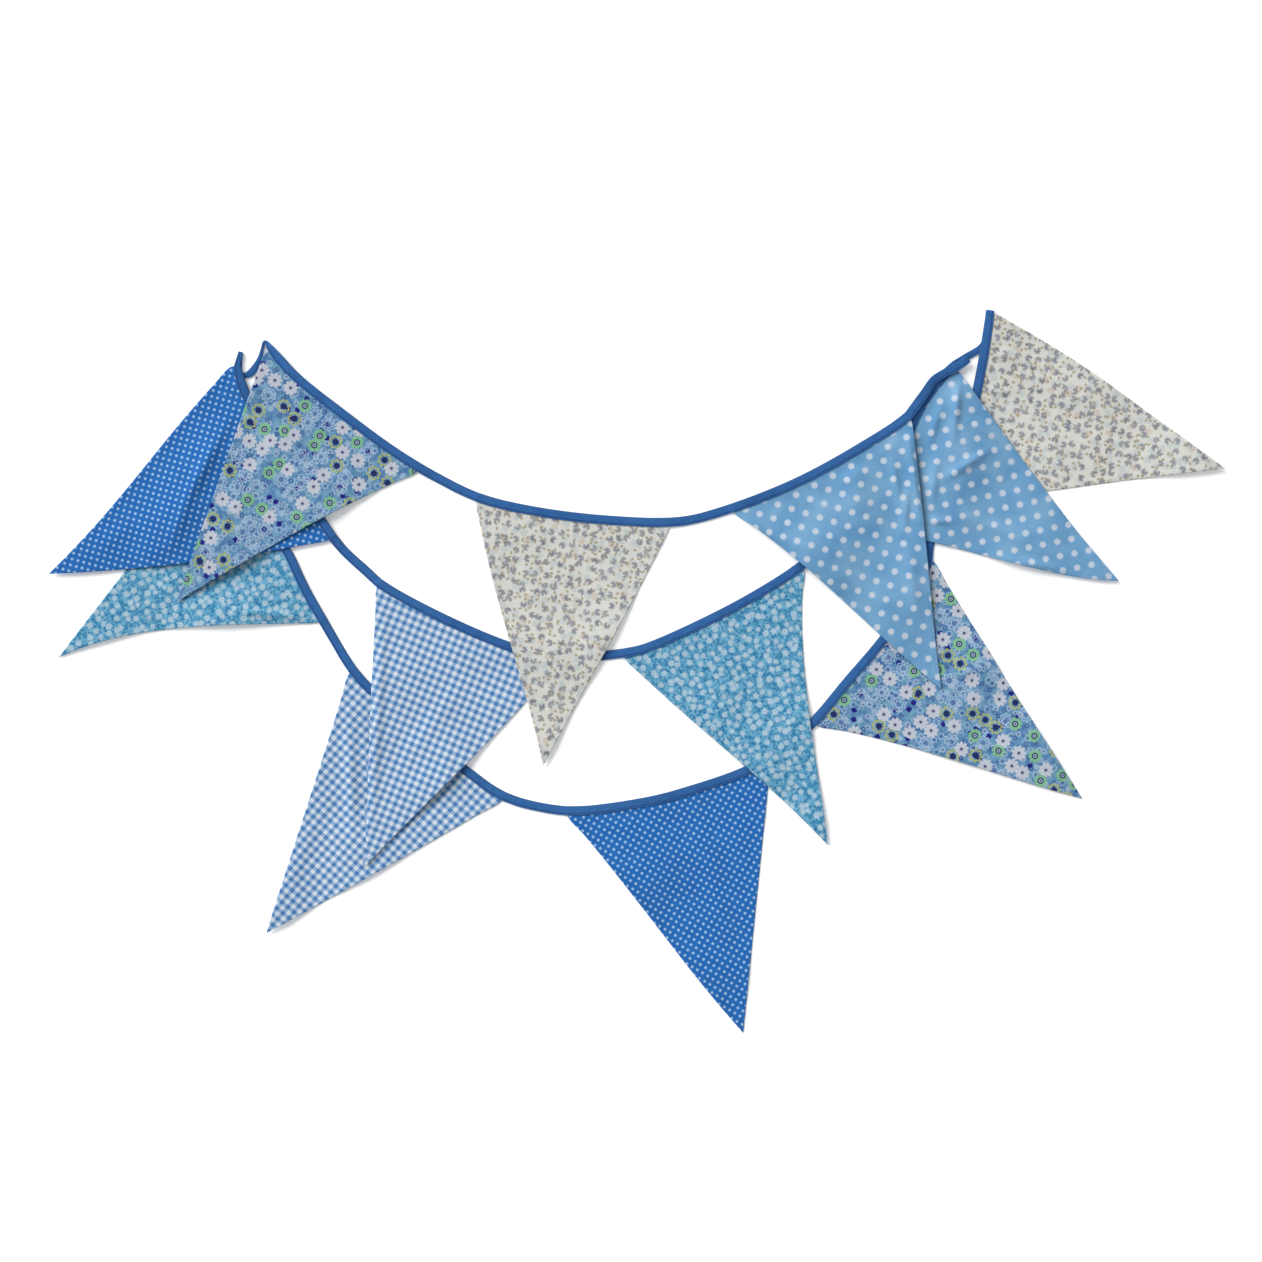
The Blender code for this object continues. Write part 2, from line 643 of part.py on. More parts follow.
def tape_mesh(runs):
    """The whole bias tape: along the lower run, back through the middle one and on through the upper."""
    sky = np.array([0.0, 0.0, 1.0])
    lower, middle, upper = runs["lower"], runs["middle"], runs["upper"]
    sections = run_sections(lower, sky)
    sections += hairpin(strand_end(lower, -1), strand_end(middle, -1), heading_right(lower, -1), 1)
    sections += run_sections(middle, -sky)[::-1]
    sections += hairpin(strand_end(middle, 0), strand_end(upper, 0), -heading_right(middle, 0), -1)
    sections += run_sections(upper, sky)
    sides = len(sections[0])
    faces = [tuple(range(sides)), tuple(range((len(sections) - 1) * sides, len(sections) * sides))]
    for i in range(len(sections) - 1):
        for k in range(sides):
            one, two = i * sides + k, i * sides + (k + 1) % sides
            faces.append((one, two, two + sides, one + sides))
    return np.vstack(sections), faces


def flag_mesh(points, under):
    """One flag: its two sewn layers of cotton as one sheet, with an underside, a top and a rim."""
    count = len(points)
    low = np.column_stack([points, under])
    high = np.column_stack([points, under + FLAG_THICKNESS])
    faces = [tuple(int(i) for i in trio[::-1]) for trio in FLAG_NET]
    faces += [tuple(int(i) + count for i in trio) for trio in FLAG_NET]
    faces += [(one, two, two + count, one + count) for one, two in rim_edges(FLAG_NET)]
    return np.vstack([low, high]), faces


def rim_edges(net):
    """Directed edges that only one triangle of the net has."""
    edges = {(int(one), int(two)) for trio in net for one, two in zip(trio, np.roll(trio, -1))}
    return [edge for edge in sorted(edges) if edge[::-1] not in edges]


def make_object(name, points, faces, colour):
    """A closed mesh in metres from points in millimetres, its faces turned outward."""
    mesh = bpy.data.meshes.new(name)
    net = bmesh.new()
    made = [net.verts.new(tuple(MM * float(value) for value in point)) for point in points]
    for face in faces:
        net.faces.new([made[i] for i in face])
    bmesh.ops.recalc_face_normals(net, faces=net.faces[:])
    net.to_mesh(mesh)
    net.free()
    mesh.materials.append(cotton(colour))
    obj = bpy.data.objects.new(name, mesh)
    bpy.context.scene.collection.objects.link(obj)
    return obj


def cotton(colour):
    """Plain matt cotton in one of the named colours."""
    found = bpy.data.materials.get(colour)
    if found:
        return found
    made = bpy.data.materials.new(colour)
    made.use_nodes = True
    shader = made.node_tree.nodes["Principled BSDF"]
    shader.inputs["Base Color"].default_value = (*COLOURS[colour], 1.0)
    shader.inputs["Roughness"].default_value = COTTON_ROUGHNESS
    shader.inputs["Metallic"].default_value = 0.0
    return made


def build():
    for obj in list(bpy.data.objects):
        bpy.data.objects.remove(obj, do_unlink=True)
    runs = {
        "lower": Run(RUN_LOWER, LOWER_FLAGS),
        "middle": Run(RUN_MIDDLE, MIDDLE_FLAGS),
        "upper": Run(RUN_UPPER, UPPER_FLAGS),
    }
    height_map = HeightMap()
    meshes = {}
    for name, what in LAYING_ORDER:
        laid = lay(runs[name], what, height_map)
        if laid:
            flag = runs[name].flags[what]
            meshes[flag.name] = (*flag_mesh(*laid), flag.cloth)
    meshes["bias_tape"] = (*tape_mesh(runs), "tape")
    everything = np.vstack([mesh[0] for mesh in meshes.values()])
    middle = (everything.min(axis=0) + everything.max(axis=0)) / 2
    middle[2] = everything[:, 2].min()
    for name, (points, faces, colour) in sorted(meshes.items()):
        make_object(name, points - middle, faces, colour)


build()
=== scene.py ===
"""Fabric bunting laid out in a zigzag on a white table, seen from straight above."""

import json
import math
from collections import namedtuple

import bmesh
import bpy
import numpy as np
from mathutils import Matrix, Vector
from mathutils.bvhtree import BVHTree


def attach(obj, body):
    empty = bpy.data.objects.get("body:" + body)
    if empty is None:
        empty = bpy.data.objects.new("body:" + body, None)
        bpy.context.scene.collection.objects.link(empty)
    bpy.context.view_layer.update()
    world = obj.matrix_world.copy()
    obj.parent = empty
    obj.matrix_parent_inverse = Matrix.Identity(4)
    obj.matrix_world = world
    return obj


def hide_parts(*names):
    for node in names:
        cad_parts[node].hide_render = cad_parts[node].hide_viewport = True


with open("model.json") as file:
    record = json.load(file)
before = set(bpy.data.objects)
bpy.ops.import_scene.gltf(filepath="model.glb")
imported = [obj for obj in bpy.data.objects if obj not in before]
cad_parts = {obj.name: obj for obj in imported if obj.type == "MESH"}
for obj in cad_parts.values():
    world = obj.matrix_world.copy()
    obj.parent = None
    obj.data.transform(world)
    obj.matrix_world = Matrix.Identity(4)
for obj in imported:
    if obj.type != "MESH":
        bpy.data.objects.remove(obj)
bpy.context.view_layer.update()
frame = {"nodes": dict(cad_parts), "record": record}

MM = 0.001

# Camera straight above the middle of the photographed frame.
FRAME_WIDTH = 1.224
FRAME_MIDDLE = (-0.0058, 0.0391)
LENS = 85.0
SENSOR = 36.0

# The folded tape, in millimetres. A bare stretch holds no flag, a sewn one does.
TAPE_STEP = 2.5
FOLD_ROUNDING = 0.75
LIP_ROUNDING = 0.35
STITCH_INSET = 1.6
STITCH_LENGTH = 2.1
STITCH_PITCH = 2.9
STITCH_WIDTH = 0.34
BARE_THICK = 1.8
SEWN_THICK = 2.9
BARE_SLOT = 0.6
SEWN_SLOT = 1.7
BARE_DEPTH = 1.0
SEWN_BACK = 1.5
LEAST_CAP = 10.0
FULL_WIDTH = 8.0
ROUNDED_ANGLES = (90, 65, 40, 20)
PROFILE_INSETS = (0.0, 0.12, 0.35, 0.8, 1.2, STITCH_INSET, 2.0, 2.5, 3.6, 4.8, 6.0)

# One stitch: share of its length, rise over the tape's face and share of its width.
STITCH_ROUNDS = ((0.0, -0.42, 0.6), (0.12, -0.16, 1), (0.5, -0.06, 1), (0.88, -0.16, 1), (1.0, -0.42, 0.6))
STITCH_SIDES = 6

# Where a section's open edge lies from its upper outer edge, in millimetres: across, along and up.
LEVEL_ACROSS = (1.8, 9.8)
LEANING_ACROSS = (6.5, 9.8)
OPEN_ALONG = 1.6
LEVEL_RISE = 0.35
LEANING_RISE = 2.5

# The flags, in millimetres. The two blurs are in cells.
CLOTH = 1.0
REST_GAP = 0.15
HEADROOM = 0.12
LEAST_HEIGHT = 0.02
WELD = 0.02
CELL = 1.25
SOFT_BLUR = 2.8
FINE_BLUR = 0.8
SWELL = 0.32
SWELL_WAVES = (46, 63, 88, 120)
NOTHING_ABOVE = 1e3
HALF_X = 580.0
HALF_Y = 380.0
COLUMNS = 64
ROW_STEP = 2.8
EDGE_STEPS = (0.0, 0.35, 1.0, 2.0, 3.4, 5.2, 7.5)
EDGE_ROOM = 34.0
EDGE_ROUNDING = 0.9
SLOT_DEPTH = 10.0
SLOT_FADE = 14.0
SEAM_INSET = 5.0
SEAM_RISE = 0.22
PUCKER_RISE = 0.13
GATHER_RISE = 0.08

# How bright a white face shows, and what the threads' gloss adds to any colour.
LIGHT = 1.17
GLOSS = 0.02

# The window is a wide, soft sun from the upper left. The angle is in degrees.
WINDOW_STRENGTH = 3.65
WINDOW_ANGLE = 40
WINDOW_WAY = (0.6, -0.55, -0.59)
SKY_STRENGTH = 0.48
TABLE_GLOW = 0.14

Flag = namedtuple("Flag", "node slot phase")

# From the bottom of the pile to the top. phase shifts the print on the flag.
FLAGS = [
    Flag("flag_01_teal", "teal_ditsy", 11),
    Flag("flag_02_gingham", "gingham", 2),
    Flag("flag_03_pin_dot", "pin_dot", 3),
    Flag("flag_04_floral", "floral", 47),
    Flag("flag_05_cream", "cream_sprig", 5),
    Flag("flag_06_light_dot", "light_dot", 6),
    Flag("flag_07_teal", "teal_ditsy", 71),
    Flag("flag_08_gingham", "gingham", 4),
    Flag("flag_09_pin_dot", "pin_dot", 1),
    Flag("flag_10_floral", "floral", 10),
    Flag("flag_11_cream", "cream_sprig", 83),
    Flag("flag_12_light_dot", "light_dot", 12),
]

# Soft ridges in the cloth, in millimetres from the frame's origin: x, y, end x, end y, height and radius.
CREASES = {
    "flag_12_light_dot": [
        (262, 228, 274, 147, 3.4, 7),
        (262, 236, 236, 212, 3.6, 6),
        (250, 236, 216, 206, 2.4, 7),
        (246, 206, 254, 166, 2.6, 6),
        (262, 178, 258, 136, 2.2, 6),
        (100, 148, 152, 120, 3.0, 7),
        (112, 132, 166, 92, 2.6, 8),
        (140, 152, 196, 110, 2.4, 13),
        (196, 206, 226, 150, 3.4, 20),
        (166, 172, 190, 150, 1.8, 11),
        (262, 120, 270, 60, 1.8, 10),
        (205, 100, 262, 40, 1.8, 14),
    ],
    "flag_06_light_dot": [
        (311, 284, 306, 224, 3.8, 6),
        (294, 262, 284, 222, 2.8, 6),
        (339, 213, 298, 187, 3.6, 6),
        (322, 242, 346, 226, 2.2, 6),
        (276, 146, 304, 145, 3.0, 5),
        (290, 206, 284, 160, 2.8, 7),
        (350, 108, 412, 99, 3.0, 7),
        (306, 156, 372, 126, 2.2, 10),
        (356, 186, 420, 120, 2.4, 16),
    ],
    "flag_01_teal": [
        (-385, 58, -317, 52, 2.8, 6),
        (-480, 60, -400, 110, 1.1, 17),
        (-500, 20, -430, 40, 1.0, 12),
    ],
    "flag_04_floral": [
        (300, -6, 334, 4, 1.7, 8),
        (330, -60, 400, -90, 0.9, 15),
    ],
    "flag_08_gingham": [
        (-245, 62, -257, -150, 2.2, 8),
        (-232, -98, -168, -10, 1.1, 15),
    ],
    "flag_09_pin_dot": [
        (-412, 224, -452, 122, 2.6, 9),
        (-395, 244, -428, 176, 2.2, 8),
        (-480, 150, -520, 120, 0.9, 14),
    ],
    "flag_02_gingham": [
        (-300, -120, -345, -225, 1.1, 12),
        (-262, -178, -215, -150, 0.8, 14),
        (-279, -40, -276, -160, 2.0, 9),
    ],
    "flag_03_pin_dot": [
        (-50, -165, 80, -320, 2.0, 10),
        (60, -140, 84, -250, 0.8, 16),
    ],
    "flag_11_cream": [
        (-20, 60, -80, -50, 0.8, 16),
        (-110, 120, -96, 30, 0.7, 15),
    ],
    "flag_07_teal": [
        (40, 0, 150, -110, 0.9, 15),
        (120, 40, 165, -60, 0.8, 14),
    ],
    "flag_05_cream": [
        (360, 300, 500, 220, 1.0, 15),
        (322, 204, 354, 196, 2.4, 5),
        (330, 238, 366, 229, 2.6, 6),
        (336, 270, 364, 272, 2.2, 5),
        (346, 312, 376, 300, 2.4, 6),
    ],
    "flag_10_floral": [
        (-330, 250, -420, 110, 0.8, 16),
        (-285, 220, -350, 165, 0.7, 14),
    ],
}


def seen(red, green, blue):
    """The base colour that shows as this one, read from 0 to 255, under the scene's light."""
    found = []
    for part in (red, green, blue):
        share = part / 255
        linear = share / 12.92 if share <= 0.04045 else ((share + 0.055) / 1.055) ** 2.4
        found.append(max(linear - GLOSS, 0.002) / LIGHT)
    return (*found, 1.0)


# Materials


class Paint:
    """One material's node tree, in which sockets and plain numbers mix freely."""

    def __init__(self, name):
        self.material = bpy.data.materials.new(name)
        self.material.use_nodes = True
        self.tree = self.material.node_tree
        self.shader = self.tree.nodes["Principled BSDF"]
        self.plan = self.uv("plan")
        self.seam_away, self.seam_along = self.split(self.uv("seam"))

    def node(self, kind, **settings):
        made = self.tree.nodes.new(kind)
        for key, value in settings.items():
            setattr(made, key, value)
        return made

    def put(self, socket, value):
        if isinstance(value, bpy.types.NodeSocket):
            self.tree.links.new(value, socket)
        else:
            socket.default_value = value

    def math(self, operation, *values):
        made = self.node("ShaderNodeMath", operation=operation)
        for socket, value in zip(made.inputs, values):
            self.put(socket, value)
        return made.outputs[0]

    def uv(self, layer):
        """A UV layer in millimetres."""
        made = self.node("ShaderNodeUVMap", uv_map=layer)
        scaled = self.node("ShaderNodeVectorMath", operation="SCALE")
        self.put(scaled.inputs[0], made.outputs[0])
        scaled.inputs["Scale"].default_value = 1000
        return scaled.outputs[0]

    def split(self, vector):
        made = self.node("ShaderNodeSeparateXYZ")
        self.put(made.inputs[0], vector)
        return made.outputs[0], made.outputs[1]

    def shifted(self, vector, x, y):
        made = self.node("ShaderNodeVectorMath", operation="ADD")
        self.put(made.inputs[0], vector)
        made.inputs[1].default_value = (x, y, 0)
        return made.outputs[0]

    def noise(self, vector, size, detail=2.0, rough=0.5):
        """Soft noise from 0 to 1 with patches of about size millimetres."""
        made = self.node("ShaderNodeTexNoise", noise_dimensions="2D")
        self.put(made.inputs["Vector"], vector)
        made.inputs["Scale"].default_value = 1 / size
        made.inputs["Detail"].default_value = detail
        made.inputs["Roughness"].default_value = rough
        return made.outputs[0]

    def under(self, value, edge, soft=0.25):
        """1 where value is under edge, 0 over it, and smooth between."""
        made = self.node("ShaderNodeMapRange", interpolation_type="SMOOTHSTEP")
        self.put(made.inputs["Value"], value)
        low = self.math("SUBTRACT", edge, soft)
        high = self.math("ADD", edge, soft)
        self.put(made.inputs["From Min"], low)
        self.put(made.inputs["From Max"], high)
        made.inputs["To Min"].default_value = 1
        made.inputs["To Max"].default_value = 0
        return made.outputs[0]

    def both(self, *shares):
        found = shares[0]
        for share in shares[1:]:
            found = self.math("MULTIPLY", found, share)
        return found

    def invert(self, share):
        return self.math("SUBTRACT", 1.0, share)

    def over(self, share, below, above):
        """The colour above laid over the one below, by share."""
        made = self.node("ShaderNodeMix", data_type="RGBA")
        self.put(made.inputs[0], share)
        self.put(made.inputs[6], below)
        self.put(made.inputs[7], above)
        return made.outputs[2]

    def lay(self, base, share, strength, colour):
        """The colour printed over the base, at most as strong as strength."""
        return self.over(self.math("MULTIPLY", share, strength), base, colour)

    def scatter(self, spacing, seed, randomness):
        """The nearest of the scattered places: distance, angle and two random numbers."""
        places = self.node("ShaderNodeTexVoronoi", voronoi_dimensions="2D", feature="F1")
        at = self.shifted(self.plan, 37.0 * seed, 61.0 * seed)
        self.put(places.inputs["Vector"], at)
        places.inputs["Scale"].default_value = 1 / spacing
        places.inputs["Randomness"].default_value = randomness
        local = self.node("ShaderNodeVectorMath", operation="SUBTRACT")
        self.put(local.inputs[0], at)
        self.put(local.inputs[1], places.outputs["Position"])
        far = self.node("ShaderNodeVectorMath", operation="LENGTH")
        self.put(far.inputs[0], local.outputs[0])
        chance = self.node("ShaderNodeSeparateColor")
        self.put(chance.inputs[0], places.outputs["Color"])
        x, y = self.split(local.outputs[0])
        turn = self.math("ARCTAN2", y, x)
        turn = self.math("MULTIPLY_ADD", chance.outputs[1], math.tau, turn)
        return far.outputs["Value"], turn, chance.outputs[0], chance.outputs[2]

    def bloom(self, far, turn, radius, petals, depth, soft=0.3):
        """A flower's petals: 1 inside its outline of round lobes."""
        wave = self.math("ABSOLUTE", self.math("COSINE", self.math("MULTIPLY", turn, petals / 2)))
        edge = self.math("MULTIPLY_ADD", self.math("SQRT", wave), depth * radius, radius * (1 - depth))
        return self.under(far, edge, soft)

    def lace(self, far, turn, radius, petals, width, depth=0.45):
        """A flower's outline alone, width millimetres wide."""
        outer = self.bloom(far, turn, radius, petals, depth, 0.35)
        inner = self.bloom(far, turn, radius - width, petals, depth, 0.35)
        return self.both(outer, self.invert(inner))

    def between(self, chance, low, high):
        return self.both(self.math("GREATER_THAN", chance, low), self.math("LESS_THAN", chance, high))

    def dots(self, pitch):
        """Distance to the nearest dot of a half-drop lattice."""
        found = None
        x, y = self.split(self.plan)
        for start in (0.0, 0.5):
            parts = []
            for value in (x, y):
                share = self.math("MULTIPLY_ADD", value, 1 / pitch, start)
                share = self.math("SUBTRACT", self.math("FRACT", share), 0.5)
                share = self.math("MULTIPLY", share, pitch)
                parts.append(self.math("MULTIPLY", share, share))
            far = self.math("SQRT", self.math("ADD", *parts))
            found = far if found is None else self.math("MINIMUM", found, far)
        return found

    def weave(self, pitch, turned=False):
        """Height of a plain weave, from -1 to 1, and slightly uneven."""
        x, y = self.split(self.plan)
        if turned:
            x, y = self.math("ADD", x, y), self.math("SUBTRACT", x, y)
        warp = self.math("SINE", self.math("MULTIPLY", x, math.tau / pitch))
        weft = self.math("SINE", self.math("MULTIPLY", y, math.tau / pitch))
        return self.math("MULTIPLY", warp, weft)

    def finish(self, colour, pitch=0.9, turned=False, tone=0.07, seam=True):
        """Cotton over the printed colour: thread, slubs, the seam's stitches, painted shade along the cut
        edge, a soft sheen and bump.
        """
        weave = self.weave(pitch, turned)
        slub = self.noise(self.plan, 1.4, 3.0, 0.6)
        patch = self.noise(self.plan, 38.0, 2.0)
        value = self.math("MULTIPLY_ADD", self.math("SUBTRACT", slub, 0.5), tone * 1.6, 1.0)
        value = self.math("MULTIPLY_ADD", self.math("SUBTRACT", patch, 0.5), tone, value)
        value = self.math("MULTIPLY_ADD", weave, tone / 4, value)
        height = self.math("MULTIPLY_ADD", slub, 0.9, self.math("MULTIPLY", weave, 0.35))
        if seam:
            off = self.math("ABSOLUTE", self.math("SUBTRACT", self.seam_away, 2.9))
            beat = self.math("FRACT", self.math("MULTIPLY", self.seam_along, 1 / 2.6))
            stitch = self.both(self.under(off, 0.28, 0.2), self.under(beat, 0.7, 0.1))
            value = self.math("MULTIPLY_ADD", stitch, -0.16, value)
            height = self.math("MULTIPLY_ADD", self.under(off, 0.7, 0.5), -1.6, height)
            # Painted shade: the cloth a little darker along its cut edge, where the turned edge rolls over.
            rim = self.under(self.seam_away, 0.5, 0.5)
            value = self.math("MULTIPLY_ADD", rim, -0.07, value)
        toned = self.node("ShaderNodeVectorMath", operation="SCALE")
        self.put(toned.inputs[0], colour)
        self.put(toned.inputs["Scale"], value)
        self.put(self.shader.inputs["Base Color"], toned.outputs[0])
        rough = self.math("MULTIPLY_ADD", slub, 0.14, 0.78)
        self.put(self.shader.inputs["Roughness"], rough)
        self.shader.inputs["Specular IOR Level"].default_value = 0.3
        self.shader.inputs["Sheen Weight"].default_value = 0.08
        self.shader.inputs["Sheen Roughness"].default_value = 0.5
        bump = self.node("ShaderNodeBump")
        bump.inputs["Strength"].default_value = 0.35
        bump.inputs["Distance"].default_value = 0.00012
        self.put(bump.inputs["Height"], height)
        self.put(self.shader.inputs["Normal"], bump.outputs[0])
        return self.material


def tape_cotton():
    paint = Paint("tape_cotton")
    across = paint.seam_away
    base = paint.over(paint.noise(paint.plan, 9.0), seen(52, 97, 156), seen(66, 114, 175))
    dull = paint.under(paint.noise(paint.shifted(paint.plan, 90, 0), 170.0), 0.5, 0.12)
    base = paint.lay(base, dull, 0.28, seen(46, 86, 140))
    # Painted shade: a darker line along the stitch line's groove.
    groove_shade = paint.under(paint.math("ABSOLUTE", paint.math("SUBTRACT", across, STITCH_INSET)), 0.55, 0.5)
    base = paint.lay(base, groove_shade, 0.6, seen(34, 64, 114))
    # Painted shade: a darker grey-blue line just inside the folded outer edge.
    fold = paint.under(paint.math("ABSOLUTE", paint.math("SUBTRACT", across, 8.6)), 0.7, 0.6)
    base = paint.lay(base, fold, 0.6, seen(56, 88, 128))
    return paint.finish(base, 0.8, turned=True, tone=0.16, seam=False)


def thread_cotton():
    paint = Paint("sewing_thread")
    base = paint.over(paint.noise(paint.plan, 1.0), seen(34, 72, 130), seen(54, 94, 152))
    return paint.finish(base, 0.5, tone=0.15, seam=False)


def teal_print(phase):
    paint = Paint(f"teal_ditsy_{phase}")
    mottle = paint.under(paint.noise(paint.plan, 5.0, 3.0), 0.5, 0.2)
    base = paint.over(mottle, seen(112, 174, 206), seen(62, 134, 178))
    far, turn, chance, _ = paint.scatter(3.3, phase + 1, 0.95)
    speck = paint.both(paint.bloom(far, turn, 1.1, 3, 0.5), paint.between(chance, -1, 0.6))
    base = paint.lay(base, speck, 0.75, seen(34, 104, 150))
    far, turn, chance, _ = paint.scatter(4.1, phase + 2, 0.95)
    spot = paint.both(paint.bloom(far, turn, 1.25, 4, 0.3), paint.between(chance, -1, 0.55))
    base = paint.lay(base, spot, 0.6, seen(140, 190, 212))
    far, turn, chance, other = paint.scatter(8.6, phase + 3, 0.7)
    size = paint.math("MULTIPLY_ADD", chance, -0.9, far)
    petals = paint.bloom(size, turn, 2.25, 5, 0.25, 1.3)
    base = paint.lay(base, petals, 0.76, seen(190, 211, 224))
    core = paint.both(paint.under(far, 0.7, 0.4), paint.between(other, -1, 0.55))
    base = paint.lay(base, core, 0.7, seen(128, 168, 200))
    return paint.finish(base)


def gingham_print(phase):
    paint = Paint(f"gingham_{phase}")
    x, y = paint.split(paint.plan)
    bands = []
    for value in (x, y):
        share = paint.math("FRACT", paint.math("MULTIPLY_ADD", value, 1 / 7.5, phase * 0.17))
        away = paint.math("ABSOLUTE", paint.math("SUBTRACT", share, 0.5))
        bands.append(paint.under(away, 0.25, 0.05))
    one = paint.math("MAXIMUM", *bands)
    two = paint.math("MINIMUM", *bands)
    base = paint.over(one, seen(216, 224, 235), seen(146, 178, 214))
    base = paint.over(two, base, seen(80, 127, 182))
    return paint.finish(base)


def pin_dot_print(phase):
    paint = Paint(f"pin_dot_{phase}")
    base = paint.over(paint.noise(paint.plan, 14.0), seen(38, 102, 176), seen(50, 114, 190))
    far = paint.dots(8.3)
    base = paint.over(paint.under(far, 1.3, 0.6), base, seen(160, 194, 230))
    return paint.finish(base)


def light_dot_print(phase):
    paint = Paint(f"light_dot_{phase}")
    # Broad darker and lighter patches: painted shade and light for the cloth's soft waves.
    base = paint.over(paint.noise(paint.plan, 32.0, 3.0), seen(76, 137, 188), seen(139, 181, 213))
    far = paint.dots(20.0)
    base = paint.over(paint.under(far, 3.05, 1.0), base, seen(190, 204, 221))
    return paint.finish(base)


def cream_print(phase):
    paint = Paint(f"cream_sprig_{phase}")
    base = paint.over(paint.noise(paint.plan, 10.0), seen(221, 221, 215), seen(207, 208, 203))
    far, turn, chance, other = paint.scatter(9.5, phase + 1, 0.8)
    patch = paint.both(paint.bloom(far, turn, 3.8, 3, 0.4, 0.9), paint.between(chance, -1, 0.75))
    pale = paint.over(paint.math("GREATER_THAN", other, 0.8), seen(190, 200, 200), seen(200, 190, 180))
    base = paint.lay(base, patch, 0.75, pale)
    far, turn, chance, other = paint.scatter(5.4, phase + 2, 0.95)
    speck = paint.both(paint.bloom(far, turn, 1.7, 2, 0.6), paint.between(chance, -1, 0.55))
    base = paint.lay(base, speck, 0.75, seen(160, 146, 112))
    far, turn, chance, other = paint.scatter(10.6, phase + 3, 0.6)
    ink = paint.over(other, seen(80, 82, 106), seen(120, 124, 140))
    stalk_side = paint.under(paint.math("SINE", turn), 0.86, 0.15)
    leaves = paint.both(paint.bloom(far, turn, 3.45, 7, 0.36, 0.8), stalk_side)
    base = paint.lay(base, leaves, 0.78, ink)
    veins = paint.both(paint.lace(far, turn, 2.9, 6, 0.8, 0.6), leaves)
    base = paint.lay(base, veins, 0.55, seen(196, 197, 198))
    heart = paint.both(paint.under(far, 0.9, 0.4), paint.between(chance, -1, 0.6))
    base = paint.lay(base, heart, 0.7, seen(196, 190, 182))
    return paint.finish(base)


def floral_print(phase):
    paint = Paint(f"floral_{phase}")
    mottle = paint.noise(paint.plan, 8.0, 4.0, 0.7)
    base = paint.over(paint.under(mottle, 0.52, 0.2), seen(124, 166, 198), seen(76, 118, 168))
    cloudy = paint.under(paint.noise(paint.shifted(paint.plan, 51, 17), 11.0, 3.0), 0.45, 0.15)
    base = paint.lay(base, cloudy, 0.4, seen(112, 160, 176))
    far, turn, chance, other = paint.scatter(7.8, phase + 1, 0.85)
    pale = paint.both(paint.bloom(far, turn, 3.2, 6, 0.4, 0.5), paint.between(chance, -1, 0.3))
    base = paint.lay(base, pale, 0.6, seen(172, 194, 216))
    ring = paint.both(paint.lace(far, turn, 3.5, 6, 0.9), paint.between(chance, 0.3, 0.62))
    base = paint.lay(base, ring, 0.8, seen(176, 198, 224))
    centred = paint.both(paint.between(chance, -1, 0.62), paint.between(other, 0.4, 2))
    heart = paint.both(paint.under(far, 1.1, 0.4), centred)
    base = paint.lay(base, heart, 0.8, seen(70, 84, 140))
    circle = paint.both(paint.under(far, 2.2), paint.invert(paint.under(far, 1.2)))
    ring = paint.both(circle, paint.between(chance, 0.62, 0.86))
    base = paint.lay(base, ring, 0.85, seen(54, 72, 138))
    navy = paint.both(paint.bloom(far, turn, 2.9, 4, 0.35, 0.4), paint.between(chance, 0.86, 2))
    base = paint.over(navy, base, seen(36, 42, 130))
    far, turn, chance, other = paint.scatter(15.6, phase + 2, 0.55)
    white = paint.between(chance, -1, 0.27)
    lacy = paint.between(chance, 0.27, 0.58)
    bright = paint.between(chance, 0.58, 0.9)
    petals = paint.both(paint.bloom(far, turn, 7.4, 9, 0.42, 0.45), white)
    base = paint.lay(base, petals, 0.88, seen(200, 204, 214))
    base = paint.over(paint.both(paint.under(far, 2.3, 0.5), white), base, seen(168, 174, 196))
    base = paint.over(paint.both(paint.under(far, 1.25, 0.4), white), base, seen(70, 66, 100))
    outline = paint.both(paint.lace(far, turn, 7.6, 9, 1.5), lacy)
    inner = paint.both(paint.lace(far, turn, 4.6, 7, 1.2), lacy)
    base = paint.lay(base, outline, 0.75, seen(174, 196, 222))
    base = paint.lay(base, inner, 0.75, seen(178, 198, 222))
    base = paint.over(paint.both(paint.under(far, 1.4, 0.5), lacy), base, seen(96, 116, 168))
    green = paint.both(bright, paint.math("GREATER_THAN", other, 0.5))
    yellow = paint.both(bright, paint.math("LESS_THAN", other, 0.5))
    halo = paint.both(paint.bloom(far, turn, 6.7, 8, 0.32, 0.6), green)
    base = paint.lay(base, halo, 0.85, seen(132, 190, 140))
    base = paint.over(paint.both(paint.lace(far, turn, 6.9, 8, 1.7), yellow), base, seen(178, 184, 92))
    base = paint.over(paint.both(paint.under(far, 3.1, 0.4), bright), base, seen(40, 52, 96))
    base = paint.over(paint.both(paint.under(far, 1.8, 0.4), green), base, seen(170, 188, 206))
    base = paint.over(paint.both(paint.under(far, 0.9, 0.3), bright), base, seen(46, 58, 110))
    return paint.finish(base)



PRINTS = {
    "teal_ditsy": teal_print,
    "gingham": gingham_print,
    "pin_dot": pin_dot_print,
    "floral": floral_print,
    "cream_sprig": cream_print,
    "light_dot": light_dot_print,
}


# Reading the CAD frame


def corner_cross(points, triangles):
    """Each triangle's normal, twice as long as its area."""
    a, b, c = (points[triangles[:, k]] for k in range(3))
    return np.cross(b - a, c - a)


def border(triangles):
    """The points round a patch of triangles, in order."""
    count = {}
    for t in triangles:
        for k in range(3):
            key = frozenset((t[k], t[(k + 1) % 3]))
            count[key] = count.get(key, 0) + 1
    return closed_walk([tuple(key) for key, number in count.items() if number == 1])


